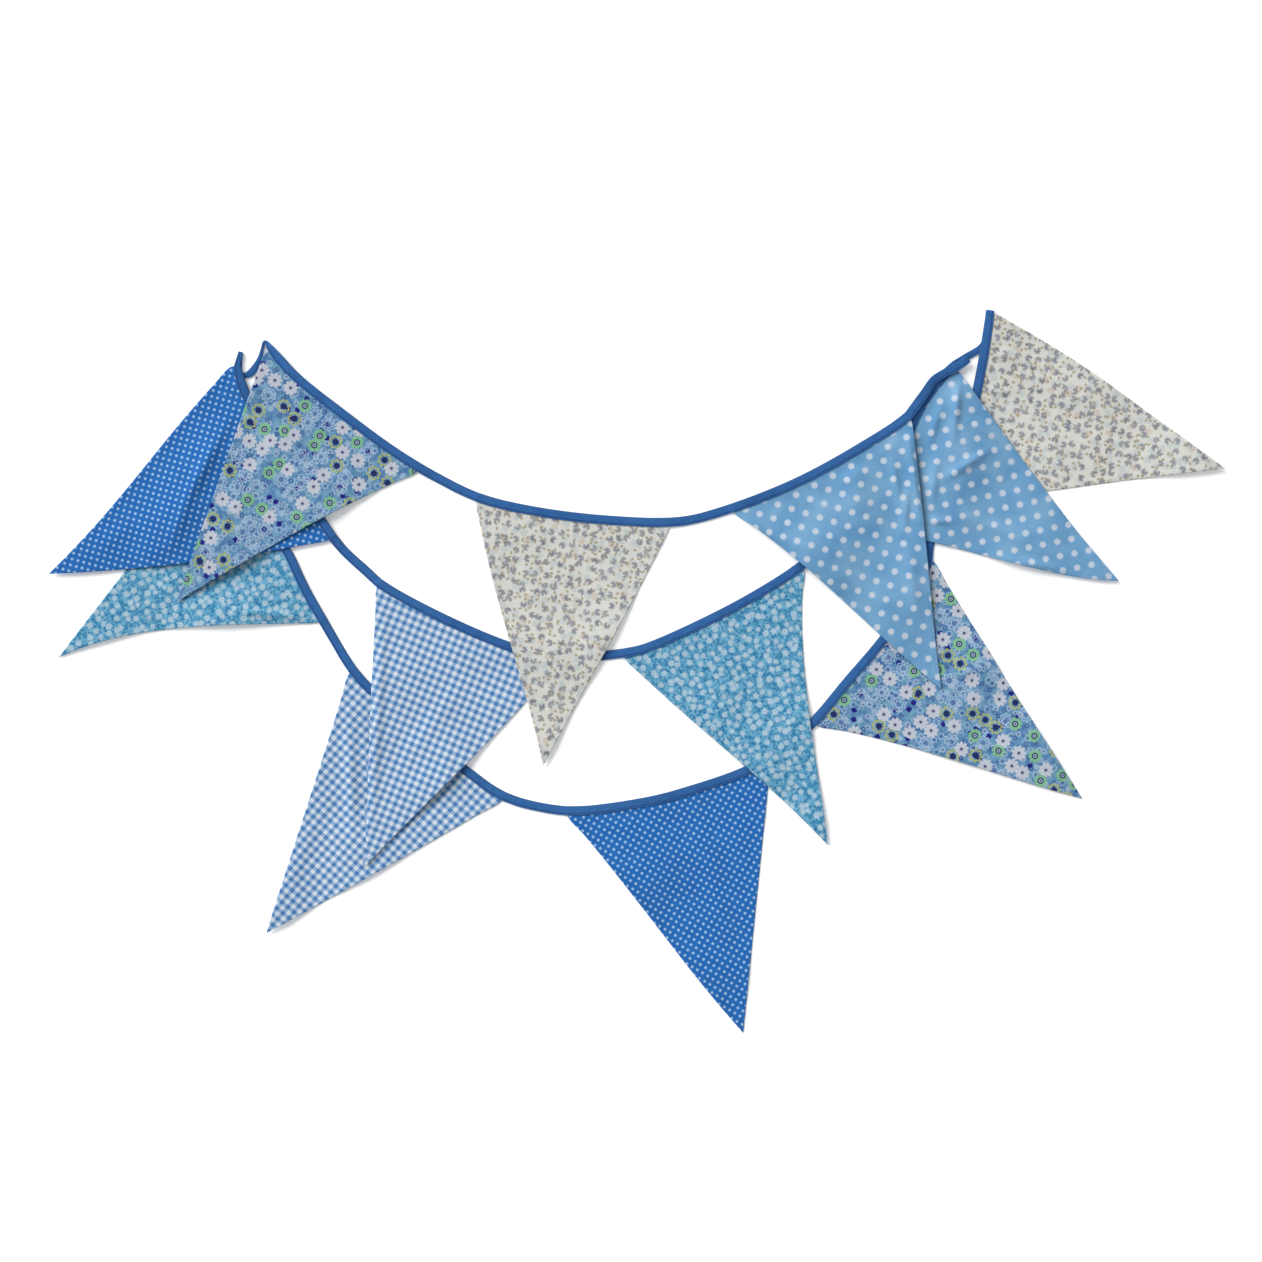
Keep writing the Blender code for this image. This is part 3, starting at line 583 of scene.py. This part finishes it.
def cad_mesh(node):
    """Points in millimetres, with doubles welded, and triangles of a CAD node."""
    mesh = frame["nodes"][node].data
    mesh.calc_loop_triangles()
    points = np.array([v.co[:] for v in mesh.vertices]) / MM
    cells = np.floor(points / WELD + 0.5).astype(np.int64)
    places, welded = {}, np.zeros(len(points), int)
    kept = []
    for i, cell in enumerate(map(tuple, cells)):
        found = places.get(cell)
        if found is None:
            for step in np.ndindex(3, 3, 3):
                found = places.get((cell[0] + step[0] - 1, cell[1] + step[1] - 1, cell[2] + step[2] - 1))
                if found is not None:
                    break
        if found is None:
            found = len(kept)
            kept.append(points[i])
        places.setdefault(cell, found)
        welded[i] = found
    triangles = np.array([[welded[v] for v in t.vertices] for t in mesh.loop_triangles])
    return np.array(kept), triangles


def between(one, two, start, end, t):
    return one + (two - one) * (t - start) / (end - start)


def catmull(points, steps):
    """A smooth curve through the points, with steps[i] parts between point i and the next."""
    points = np.asarray(points, float)
    padded = np.vstack([2 * points[0] - points[1], points, 2 * points[-1] - points[-2]])
    found = []
    for i, count in enumerate(steps):
        p0, p1, p2, p3 = padded[i : i + 4]
        knots = [0.0]
        for one, two in ((p0, p1), (p1, p2), (p2, p3)):
            knots.append(knots[-1] + max(np.linalg.norm((two - one)[:3]), 1e-6) ** 0.5)
        for t in knots[1] + (knots[2] - knots[1]) * np.arange(count) / count:
            a1 = between(p0, p1, knots[0], knots[1], t)
            a2 = between(p1, p2, knots[1], knots[2], t)
            a3 = between(p2, p3, knots[2], knots[3], t)
            b1 = between(a1, a2, knots[0], knots[2], t)
            b2 = between(a2, a3, knots[1], knots[3], t)
            found.append(between(b1, b2, knots[1], knots[2], t))
    found.append(points[-1])
    return np.array(found)


def resampled(curve, count):
    """count points at even lengths along a curve."""
    lengths = np.concatenate([[0], np.cumsum(np.linalg.norm(np.diff(curve, axis=0), axis=1))])
    at = np.linspace(0, lengths[-1], count)
    return np.column_stack([np.interp(at, lengths, curve[:, c]) for c in range(curve.shape[1])])


def make_piece(name, points, faces, layers, material):
    """A smooth-shaded mesh object. layers holds a (u, v) in metres for every point, by layer name."""
    mesh = bpy.data.meshes.new(name)
    mesh.from_pydata([tuple(p) for p in np.asarray(points) * MM], [], faces)
    corners = np.array([loop.vertex_index for loop in mesh.loops])
    for layer, values in layers.items():
        uv = mesh.uv_layers.new(name=layer)
        uv.data.foreach_set("uv", np.asarray(values, np.float32)[corners].ravel())
    mesh.materials.append(material)
    mesh.shade_smooth()
    mesh.validate()
    made = bpy.data.objects.new(name, mesh)
    bpy.context.collection.objects.link(made)
    return made


# The bias tape


def sharp_edges(points, triangles):
    """For each point, the points that it shares a sharp edge with."""
    normals = corner_cross(points, triangles)
    normals /= np.maximum(np.linalg.norm(normals, axis=1), 1e-12)[:, None]
    sides = {}
    for number, trio in enumerate(triangles):
        for k in range(3):
            sides.setdefault(frozenset((trio[k], trio[(k + 1) % 3])), []).append(number)
    found = [set() for _ in points]
    for edge, owners in sides.items():
        if len(edge) == 2 and len(owners) == 2 and normals[owners[0]] @ normals[owners[1]] < 0.6:
            a, b = edge
            found[a].add(b)
            found[b].add(a)
    return found


def outer_rails(points, triangles):
    """The tape's lower and upper outer edges as chains from one cut end to the other."""
    near = sharp_edges(points, triangles)
    mounts = {mount["name"]: np.array(mount["pos_m"]) / MM for mount in frame["record"]["mounts"]}
    cap, far_cap = (end_cap(points, triangles, mounts[name]) for name in ("tape_start", "tape_end"))
    for turn in range(8):
        trial = cap[turn:] + cap[:turn]
        wide = [np.linalg.norm(points[trial[k]] - points[trial[k - 1]]) for k in (1, 7)]
        if min(wide) > 5:
            break
    if points[trial[0]][2] > points[trial[7]][2]:
        trial = trial[::-1]
    rails = []
    for k in (0, 7):
        chain, passed = [trial[k]], set(cap)
        while chain[-1] not in far_cap:
            here = points[chain[-1]]
            ahead = sorted(near[chain[-1]] - passed)
            if len(chain) > 1 and len(ahead) > 1:
                way = here - points[chain[-2]]
                way /= np.linalg.norm(way)
                steps = {p: points[p] - here for p in ahead}
                turns = {p: float(step @ way / np.linalg.norm(step)) for p, step in steps.items()}
                ahead.sort(key=lambda p: -turns[p])
                if turns[ahead[0]] < 0.3:
                    ahead.sort(key=lambda p: np.linalg.norm(steps[p]))
            passed.add(chain[-1])
            chain.append(ahead[0])
        rails.append(points[chain])
    return rails


def end_cap(points, triangles, place):
    """The eight points of the cut end near place, in order round it."""
    for corner in np.argsort(np.linalg.norm(points - place, axis=1))[:60]:
        close = [i for i in range(len(points)) if np.linalg.norm(points[i] - points[corner]) < 12.5]
        for a, b, c in triangles[(triangles == corner).any(axis=1)]:
            normal = np.cross(points[b] - points[a], points[c] - points[a])
            normal /= np.linalg.norm(normal)
            ring = {i for i in close if abs(float((points[i] - points[corner]) @ normal)) < 0.03}
            inside = [t for t in triangles if set(t) <= ring]
            if abs(normal[2]) > 0.5 or len(inside) != 6:
                continue
            area = np.linalg.norm(corner_cross(points, np.array(inside)), axis=1).sum() / 2
            if area < LEAST_CAP:
                continue
            return border(inside)
    raise ValueError("the tape's cut end wasn't found")


def closed_walk(edges):
    follow = {}
    for a, b in edges:
        follow.setdefault(a, []).append(b)
        follow.setdefault(b, []).append(a)
    loop = [edges[0][0]]
    last = None
    while True:
        here = loop[-1]
        ahead = [p for p in follow[here] if p != last]
        last = here
        if ahead[0] == loop[0]:
            return loop
        loop.append(ahead[0])


def tape_sections():
    """Rows of outer edge, open edge, up, thickness, slot opening and the slot's back from the outer edge."""
    points, triangles = cad_mesh("bias_tape")
    low, high = outer_rails(points, triangles)
    found = []
    for i in range(len(low)):
        ahead, behind = min(i + 1, len(low) - 1), max(i - 1, 0)
        way = low[ahead] + high[ahead] - low[behind] - high[behind]
        way /= np.linalg.norm(way)
        up = high[i] - low[i]
        thick = np.linalg.norm(up)
        up /= thick
        side = np.cross(way, up)
        local = points - high[i]
        across, off, rise = local @ side, np.abs(local @ way), local @ up
        level = (across > LEVEL_ACROSS[0]) & (across < LEVEL_ACROSS[1]) & (off < OPEN_ALONG)
        level &= np.abs(rise) < LEVEL_RISE
        leaning = (across > LEANING_ACROSS[0]) & (across < LEANING_ACROSS[1]) & (off < OPEN_ALONG)
        leaning &= np.abs(rise) < LEANING_RISE
        if level.any():
            chosen = min(np.nonzero(level)[0], key=lambda p: abs(rise[p]) + 0.3 * off[p] - 0.02 * across[p])
        elif leaning.any():
            chosen = max(np.nonzero(leaning)[0], key=lambda p: rise[p] - 0.3 * off[p])
        else:
            continue
        outer = (low[i] + high[i]) / 2
        opened = points[chosen] - up * thick / 2
        width = np.linalg.norm(opened - outer)
        sewn = min(max((thick - BARE_THICK) / (SEWN_THICK - BARE_THICK), 0), 1)
        opening = BARE_SLOT + (SEWN_SLOT - BARE_SLOT) * sewn
        back = (width - BARE_DEPTH) * (1 - sewn) + SEWN_BACK * sewn
        found.append([*outer, *opened, *up, thick, opening, back])
    return np.array(found)


def tape_profile(width, thick, opening, back):
    """The folded tape's outline as (across, height): upper face, fold, lower face and slot."""
    half = thick / 2
    squeeze = min(1.0, width / FULL_WIDTH)
    upper = []
    for full in PROFILE_INSETS:
        inset = full * squeeze
        height = half
        if inset < LIP_ROUNDING:
            gap = LIP_ROUNDING - inset
            height = half - LIP_ROUNDING * 0.6 + 0.6 * math.sqrt(max(LIP_ROUNDING**2 - gap**2, 0))
        height -= 0.2 * math.exp(-(((full - STITCH_INSET) / 0.45) ** 2))
        upper.append((width - inset, height))
    for degrees in ROUNDED_ANGLES:
        angle = math.radians(degrees)
        upper.append((FOLD_ROUNDING * squeeze * (1 - math.cos(angle)), half * math.sin(angle)))
    lower = [(a, -h) for a, h in reversed(upper)]
    lip = opening / 2
    middle = (width + back) / 2
    mouth = width - 0.15
    slot = [(mouth, -lip), (middle, -lip), (back, -lip), (back, lip), (middle, lip), (mouth, lip)]
    return upper + [(0.0, 0.0)] + lower + slot


def build_tape():
    sections = tape_sections()
    steps = []
    for one, two in zip(sections, sections[1:]):
        gap = np.linalg.norm((one[:3] + one[3:6] - two[:3] - two[3:6]) / 2)
        steps.append(max(1, round(gap / TAPE_STEP)))
    smooth = catmull(sections, steps)
    plain = []
    for one, two, count in zip(sections, sections[1:], steps):
        plain += [one + (two - one) * k / count for k in range(count)]
    plain = np.vstack([*plain, sections[-1]])
    smooth[:, (2, 5)] = plain[:, (2, 5)]
    smooth[:, 9:] = plain[:, 9:]
    middles = (smooth[:, :3] + smooth[:, 3:6]) / 2
    along = np.concatenate([[0], np.cumsum(np.linalg.norm(np.diff(middles, axis=0), axis=1))])
    points, plan, seam = [], [], []
    for row, at in zip(smooth, along):
        outer, opened, up = row[:3], row[3:6], row[6:9] / np.linalg.norm(row[6:9])
        thick, opening, back = row[9:]
        width = np.linalg.norm(opened - outer)
        across = (opened - outer) / width
        wobble = 0.16 * math.sin(at / 13.7) + 0.12 * math.sin(at / 5.1 + 1.3)
        around = 0.0
        last = None
        for a, h in tape_profile(width, thick, opening, back):
            if last is not None:
                around += math.hypot(a - last[0], h - last[1])
            last = (a, h)
            ripple = 0.05 * math.sin(at / 1.9 + a) + 0.07 * math.sin(at / 4.3 - 0.7 * a)
            lift = h + ripple * min(1.0, abs(h) / (thick / 2)) * (1 if h > 0 else -1) * min(1.0, a / 2)
            shift = wobble * min(1.0, a / width) * 0.6
            point = outer + across * (a + shift) + up * lift
            points.append((point[0], point[1], max(point[2], LEAST_HEIGHT)))
            plan.append((at * MM, around * MM))
            seam.append(((width - a) * MM, at * MM))
    sides = len(points) // len(smooth)
    faces = []
    for i in range(len(smooth) - 1):
        for k in range(sides):
            one, two = i * sides + k, i * sides + (k + 1) % sides
            faces.append((one, two, two + sides, one + sides))
    faces.append(tuple(range(sides))[::-1])
    faces.append(tuple(range((len(smooth) - 1) * sides, len(smooth) * sides)))
    tape = make_piece("tape_cloth", points, faces, {"plan": plan, "seam": seam}, tape_cotton())
    outward(tape)
    return tape, smooth, along


def outward(obj):
    """Turns every face outward."""
    mesh = obj.data
    work = bmesh.new()
    work.from_mesh(mesh)
    bmesh.ops.recalc_face_normals(work, faces=work.faces)
    work.to_mesh(mesh)
    work.free()


def build_stitches(smooth, along):
    """Straight stitches through the tape near its open edge, on both faces."""
    points, faces, plan = [], [], []
    count = int(along[-1] // STITCH_PITCH) - 1
    for number in range(count):
        at = (number + 0.7) * STITCH_PITCH
        ends = []
        for place in (at, at + STITCH_LENGTH):
            row = np.array([np.interp(place, along, smooth[:, c]) for c in range(12)])
            width = np.linalg.norm(row[3:6] - row[:3])
            across = (row[3:6] - row[:3]) / width
            up = row[6:9] / np.linalg.norm(row[6:9])
            inset = STITCH_INSET * min(1.0, width / FULL_WIDTH)
            ends.append((row[:3] + across * (width - inset), across, up, row[9] / 2))
        (one, across, up, half), (two, _, _, _) = ends
        ahead = two - one
        for face in (1, -1):
            first = len(points)
            for share, rise, size in STITCH_ROUNDS:
                middle = one + ahead * share + up * face * (half + rise)
                for k in range(STITCH_SIDES):
                    angle = math.tau * k / STITCH_SIDES
                    reach = STITCH_WIDTH / 2 * size
                    point = middle + across * reach * math.cos(angle) + up * reach * math.sin(angle)
                    point[2] = max(point[2], LEAST_HEIGHT)
                    points.append(point)
                    plan.append(((at + share * STITCH_LENGTH) * MM, k * 0.2 * MM))
            for start in range(first, len(points) - STITCH_SIDES, STITCH_SIDES):
                for k in range(STITCH_SIDES):
                    a, b = start + k, start + (k + 1) % STITCH_SIDES
                    faces.append((a, b, b + STITCH_SIDES, a + STITCH_SIDES))
            faces.append(tuple(range(first, first + STITCH_SIDES))[::-1])
            faces.append(tuple(range(len(points) - STITCH_SIDES, len(points))))
    stitches = make_piece("tape_stitching", points, faces, {"plan": plan, "seam": plan}, thread_cotton())
    outward(stitches)
    return stitches


# The flags


class Ground:
    """Heights on a fine grid over the table."""

    def __init__(self):
        self.x = np.arange(-HALF_X, HALF_X, CELL)
        self.y = np.arange(-HALF_Y, HALF_Y, CELL)
        self.laid = np.zeros((len(self.y), len(self.x)))

    def window(self, low, high):
        i0, i1 = np.searchsorted(self.x, (low[0], high[0]))
        j0, j1 = np.searchsorted(self.y, (low[1], high[1]))
        return slice(j0, j1), slice(i0, i1)


def shifted(grid, axis, reach):
    """The grid moved by each step from -reach to reach along an axis."""
    pads = [(reach, reach) if a == axis else (0, 0) for a in (0, 1)]
    padded = np.pad(grid, pads, mode="edge")
    for k in range(2 * reach + 1):
        yield padded[k : k + grid.shape[0], :] if axis == 0 else padded[:, k : k + grid.shape[1]]


def blurred(grid, sigma):
    """Gaussian blur, with sigma in cells."""
    reach = max(1, int(3 * sigma + 0.5))
    kernel = np.exp(-0.5 * (np.arange(-reach, reach + 1) / sigma) ** 2)
    kernel /= kernel.sum()
    for axis in (0, 1):
        grid = sum(share * part for share, part in zip(kernel, shifted(grid, axis, reach)))
    return grid


def widened(grid, reach):
    """Highest value within reach cells."""
    for axis in (0, 1):
        grid = np.max(list(shifted(grid, axis, reach)), axis=0)
    return grid


def segment_distance(points, start, end):
    """Distance from each point to a segment, and the share of the way along it."""
    way = np.subtract(end, start)
    share = np.clip(((points - start) @ way) / (way @ way), 0, 1)
    return np.linalg.norm(points - (start + share[..., None] * way), axis=-1), share


def chain_distance(points, chain):
    """Distance from each point to a chain, and the length along it at the nearest place."""
    best = np.full(points.shape[:-1], 1e9)
    along = np.zeros(points.shape[:-1])
    gone = 0.0
    for one, two in zip(chain, chain[1:]):
        far, share = segment_distance(points, one, two)
        closer = far < best
        best = np.where(closer, far, best)
        step = float(np.linalg.norm(two - one))
        along = np.where(closer, gone + share * step, along)
        gone += step
    return best, along


def flag_outline(points, triangles):
    """The flag's top edge, near side and far side, as smooth plan curves."""
    normal = corner_cross(points, triangles)
    upper = triangles[normal[:, 2] > 0.5 * np.linalg.norm(normal, axis=1)]
    rim = points[border(upper)][:, :2]
    before = rim - np.roll(rim, 1, axis=0)
    after = np.roll(rim, -1, axis=0) - rim
    sideways = before[:, 0] * after[:, 1] - before[:, 1] * after[:, 0]
    turn = np.abs(np.arctan2(sideways, (before * after).sum(axis=1)))
    corners = []
    for i in np.argsort(-turn):
        if all(np.linalg.norm(rim[i] - rim[j]) > 60 for j in corners):
            corners.append(int(i))
        if len(corners) == 3:
            break
    spread = [sum(np.linalg.norm(rim[i] - rim[j]) for j in corners) for i in corners]
    tip = corners[int(np.argmax(spread))]
    one, two = [c for c in corners if c != tip]
    across, down = rim[two] - rim[one], rim[tip] - rim[one]
    if across[0] * down[1] - across[1] * down[0] > 0:
        one, two = two, one
    arcs = []
    for start, end, avoid in ((one, two, tip), (one, tip, two), (two, tip, one)):
        for step in (1, -1):
            chain = [start]
            while chain[-1] != end and chain[-1] != avoid:
                chain.append((chain[-1] + step) % len(rim))
            if chain[-1] == end:
                arcs.append(catmull(rim[chain], [6] * (len(chain) - 1)))
                break
    return upper, arcs


def cast(tree, x, y, z, down=True):
    hit = tree.ray_cast(Vector((x, y, z)), Vector((0, 0, -1 if down else 1)))
    return None if hit[0] is None else hit[0].z


def heights_of(flag, ground, own_tree, others, tape_tree, arcs, seed):
    """The flag's upper surface on its part of the grid: (window, heights)."""
    rim = np.vstack(arcs)
    window = ground.window(rim.min(axis=0) - 8, rim.max(axis=0) + 8)
    xs, ys = np.meshgrid(ground.x[window[1]], ground.y[window[0]])
    solid = np.zeros(xs.shape)
    inside = np.zeros(xs.shape)
    floor = ground.laid[window].copy()
    ceiling = np.full(xs.shape, NOTHING_ABOVE)
    for j, i in np.ndindex(xs.shape):
        x, y = xs[j, i], ys[j, i]
        top = cast(own_tree, x, y, 40)
        if top is None:
            continue
        solid[j, i] = top
        inside[j, i] = 1
        below = cast(tape_tree, x, y, top - 0.9)
        if below is not None and below < top - 1.0:
            floor[j, i] = max(floor[j, i], below)
        for tree in others:
            above = cast(tree, x, y, top + LEAST_HEIGHT, False)
            if above is not None:
                ceiling[j, i] = min(ceiling[j, i], above)
    places = np.stack([xs, ys], axis=-1)
    top_away, _ = chain_distance(places, arcs[0])
    free = np.clip((top_away - SLOT_DEPTH) / SLOT_FADE, 0, 1)
    free = free * free * (3 - 2 * free)
    share = np.maximum(blurred(inside, SOFT_BLUR), 1e-3)
    soft = blurred(solid * inside, SOFT_BLUR) / share
    fine_share = np.maximum(blurred(inside, FINE_BLUR), 1e-3)
    fine = blurred(solid * inside, FINE_BLUR) / fine_share
    fine = np.where(fine_share > 0.02, fine, soft)
    base = fine + (soft - fine) * free
    covered = (ceiling < NOTHING_ABOVE) * inside
    bare = np.clip(1 - 1.6 * blurred(widened(covered, 4), 3.0), 0, 1) * free
    draw = np.random.default_rng(seed)
    swell = np.zeros(xs.shape)
    for wave in SWELL_WAVES:
        turn = draw.uniform(0, math.pi)
        phase = draw.uniform(0, math.tau, 2)
        run = xs * math.cos(turn) + ys * math.sin(turn)
        side = ys * math.cos(turn) - xs * math.sin(turn)
        lengthwise = np.sin(run * math.tau / wave + phase[0])
        swell += wave / 110 * lengthwise * np.sin(side * math.tau / (wave * 1.7) + phase[1])
    base = base + bare * SWELL * np.clip(swell + 0.9, 0, 3)
    for x, y, to_x, to_y, height, radius in CREASES.get(flag.node, []):
        far, along = segment_distance(places, (x, y), (to_x, to_y))
        taper = np.sin(np.clip(along, 0.06, 0.94) * math.pi) ** 0.6
        ridge = np.exp(-((far / (0.6 * radius)) ** 2))
        base = base + bare * height * ridge * taper
    for _ in range(3):
        need = np.where(inside > 0, np.maximum(floor + REST_GAP + CLOTH, CLOTH + LEAST_HEIGHT), -1e3)
        short = np.maximum(need - base, 0)
        base = base + np.maximum(blurred(widened(short, 2), 1.6), 0)
        over = np.where(inside > 0, np.maximum(base - (ceiling - HEADROOM), 0), 0) * free
        base = base - over
    ground.laid[window] = np.where(inside > 0, np.maximum(base, ground.laid[window]), ground.laid[window])
    return window, base


def sampled(ground, window, grid, points):
    """The grid's values at plan points, between its cells."""
    x0, y0 = ground.x[window[1]][0], ground.y[window[0]][0]
    fx = np.clip((points[..., 0] - x0) / CELL, 0, grid.shape[1] - 1.001)
    fy = np.clip((points[..., 1] - y0) / CELL, 0, grid.shape[0] - 1.001)
    i, j = fx.astype(int), fy.astype(int)
    u, v = fx - i, fy - j
    low = grid[j, i] * (1 - u) + grid[j, i + 1] * u
    high = grid[j + 1, i] * (1 - u) + grid[j + 1, i + 1] * u
    return low * (1 - v) + high * v


def spaced(width, count):
    """Distances across a row: close together near both edges, even between."""
    squeeze = min(1.0, width / EDGE_ROOM)
    edge = np.array(EDGE_STEPS) * squeeze
    inner = np.linspace(edge[-1], width - edge[-1], count + 2)[1:-1]
    return np.concatenate([edge, inner, width - edge[::-1]])


def flag_grid(arcs):
    """Plan points of the flag's grid, rows from the tape to the tip."""
    top, near, far = arcs
    length = (np.linalg.norm(near[-1] - near[0]) + np.linalg.norm(far[-1] - far[0])) / 2
    last_rows = length - np.array([6, 4, 2.4, 1.3, 0.7])
    rows = np.concatenate([[0, 1.5, 3, 5, 7, 9], np.arange(11.5, length - 8, ROW_STEP), last_rows])
    fine = 400
    shares = np.linspace(0, 1, fine)
    near, far, top = resampled(near, fine), resampled(far, fine), resampled(top, fine)
    grid = []
    for row in rows / length:
        ends = [[np.interp(row, shares, side[:, c]) for c in (0, 1)] for side in (near, far)]
        left, right = np.array(ends)
        across = spaced(np.linalg.norm(right - left), COLUMNS) / np.linalg.norm(right - left)
        bend = np.column_stack([np.interp(across, shares, top[:, c]) for c in (0, 1)])
        straight = top[0] + (top[-1] - top[0]) * across[:, None]
        grid.append(left + (right - left) * across[:, None] + (1 - row) ** 2 * (bend - straight))
    return np.array(grid)


def build_flag(flag, ground, trees, tape_tree, seed):
    points, triangles = cad_mesh(flag.node)
    upper, arcs = flag_outline(points, triangles)
    own_tree = BVHTree.FromPolygons([Vector(p) for p in points], [tuple(map(int, t)) for t in upper])
    others = [tree for node, tree in trees.items() if node != flag.node] + [tape_tree]
    window, heights = heights_of(flag, ground, own_tree, others, tape_tree, arcs, seed)
    grid = flag_grid(arcs)
    top = sampled(ground, window, heights, grid)
    rows, columns = top.shape
    sides = [chain_distance(grid, arc) for arc in arcs[1:]]
    nearer = sides[0][0] < sides[1][0]
    side_away = np.where(nearer, sides[0][0], sides[1][0])
    side_along = np.where(nearer, sides[0][1], sides[1][1] + 1000)
    top_away, _ = chain_distance(grid, arcs[0])
    tip_away = np.linalg.norm(grid - arcs[1][-1], axis=-1)
    free = np.clip((top_away - SLOT_DEPTH) / 6, 0, 1)
    band = 1 / (1 + np.exp((side_away - SEAM_INSET) / 0.6))
    pucker = np.sin(side_along / 3.1) * np.sin(side_along / 7.7 + seed) * np.exp(-side_away / 5)
    gather = np.sin(grid[..., 0] / 2.9 + grid[..., 1] / 3.7)
    gather = gather * np.exp(-np.maximum(top_away - SLOT_DEPTH, 0) / 7)
    top = top + free * (SEAM_RISE * band + PUCKER_RISE * pucker + GATHER_RISE * gather)
    edge = np.minimum(np.minimum(side_away, top_away), tip_away)
    round_off = np.sqrt(1 - (1 - np.clip(edge / EDGE_ROUNDING, 0, 1)) ** 2)
    rim = np.zeros((rows, columns), bool)
    rim[0] = rim[-1] = rim[:, 0] = rim[:, -1] = True
    half = CLOTH / 2 * np.where(rim, 0, np.maximum(round_off, 0.45))
    middle = top - CLOTH / 2
    upper_points = np.dstack([grid, middle + half])
    lower_points = np.dstack([grid, middle - half])
    number = np.arange(rows * columns).reshape(rows, columns)
    under = number.copy()
    under[~rim] = rows * columns + np.arange(int((~rim).sum()))
    flat_points = np.vstack([upper_points.reshape(-1, 3), lower_points[~rim]])
    faces = []
    for j in range(rows - 1):
        for i in range(columns - 1):
            for face, order in ((number, -1), (under, 1)):
                quad = (face[j, i], face[j, i + 1], face[j + 1, i + 1], face[j + 1, i])
                faces.append(tuple(map(int, quad))[::order])
    start, end = arcs[0][0], arcs[0][-1]
    across = (end - start) / np.linalg.norm(end - start)
    down = np.array([across[1], -across[0]])
    local = grid - start
    plan = np.stack([local @ across, local @ down], axis=-1) * MM
    seam = np.stack([side_away, side_along], axis=-1) * MM
    layers = {
        "plan": np.vstack([plan.reshape(-1, 2), plan[~rim]]),
        "seam": np.vstack([seam.reshape(-1, 2), seam[~rim]]),
    }
    name = flag.node.replace("flag", "pennant")
    piece = make_piece(name, flat_points, faces, layers, PRINTS[flag.slot](flag.phase))
    outward(piece)
    width = float(np.linalg.norm(end - start))
    length = float(np.linalg.norm((start + end) / 2 - arcs[1][-1]))
    return piece, width * MM, length * MM


def tree_of(obj):
    mesh = obj.data
    points = [v.co / MM for v in mesh.vertices]
    return BVHTree.FromPolygons(points, [tuple(p.vertices) for p in mesh.polygons])


# The object

ground = Ground()
tape, tape_rows, tape_lengths = build_tape()
stitching = build_stitches(tape_rows, tape_lengths)
tape_tree = tree_of(tape)
cad_trees = {}
for flag in FLAGS:
    corners, trios = cad_mesh(flag.node)
    faces = [tuple(map(int, t)) for t in trios]
    cad_trees[flag.node] = BVHTree.FromPolygons([Vector(p) for p in corners], faces)

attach(tape, "root")
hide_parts("bias_tape")
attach(stitching, "root")
for number, flag in enumerate(FLAGS):
    pennant, width, length = build_flag(flag, ground, cad_trees, tape_tree, number + 1)
    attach(pennant, "root")
    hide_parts(flag.node)
    print(f"{pennant.name}: {width:.3f} x {length:.3f}, {len(pennant.data.polygons)} faces")

# The table, lights and camera

bpy.ops.mesh.primitive_plane_add(size=60, location=(0, 0, 0))
table = bpy.context.object
table.name = "table"
surface = bpy.data.materials.new("white_table")
surface.use_nodes = True
shader = surface.node_tree.nodes["Principled BSDF"]
shader.inputs["Base Color"].default_value = (0.98, 0.98, 0.98, 1)
shader.inputs["Roughness"].default_value = 0.9
shader.inputs["Emission Color"].default_value = (1, 1, 1, 1)
shader.inputs["Emission Strength"].default_value = TABLE_GLOW
table.data.materials.append(surface)

window = bpy.data.lights.new("window", "SUN")
window.energy = WINDOW_STRENGTH
window.angle = math.radians(WINDOW_ANGLE)
window.color = (1.0, 0.99, 0.97)
window_lamp = bpy.data.objects.new("window", window)
window_lamp.rotation_euler = Vector(WINDOW_WAY).to_track_quat("-Z", "Y").to_euler()
bpy.context.collection.objects.link(window_lamp)
world = bpy.context.scene.world or bpy.data.worlds.new("studio")
bpy.context.scene.world = world
world.use_nodes = True
sky = world.node_tree.nodes["Background"]
sky.inputs[0].default_value = (0.97, 0.985, 1, 1)
sky.inputs[1].default_value = SKY_STRENGTH

bpy.context.scene.view_settings.view_transform = "Standard"

lens = bpy.data.cameras.new("camera")
lens.lens = LENS
lens.sensor_width = SENSOR
lens.clip_end = 50
camera = bpy.data.objects.new("camera", lens)
camera.location = (*FRAME_MIDDLE, FRAME_WIDTH * LENS / SENSOR)
bpy.context.collection.objects.link(camera)
bpy.context.scene.camera = camera
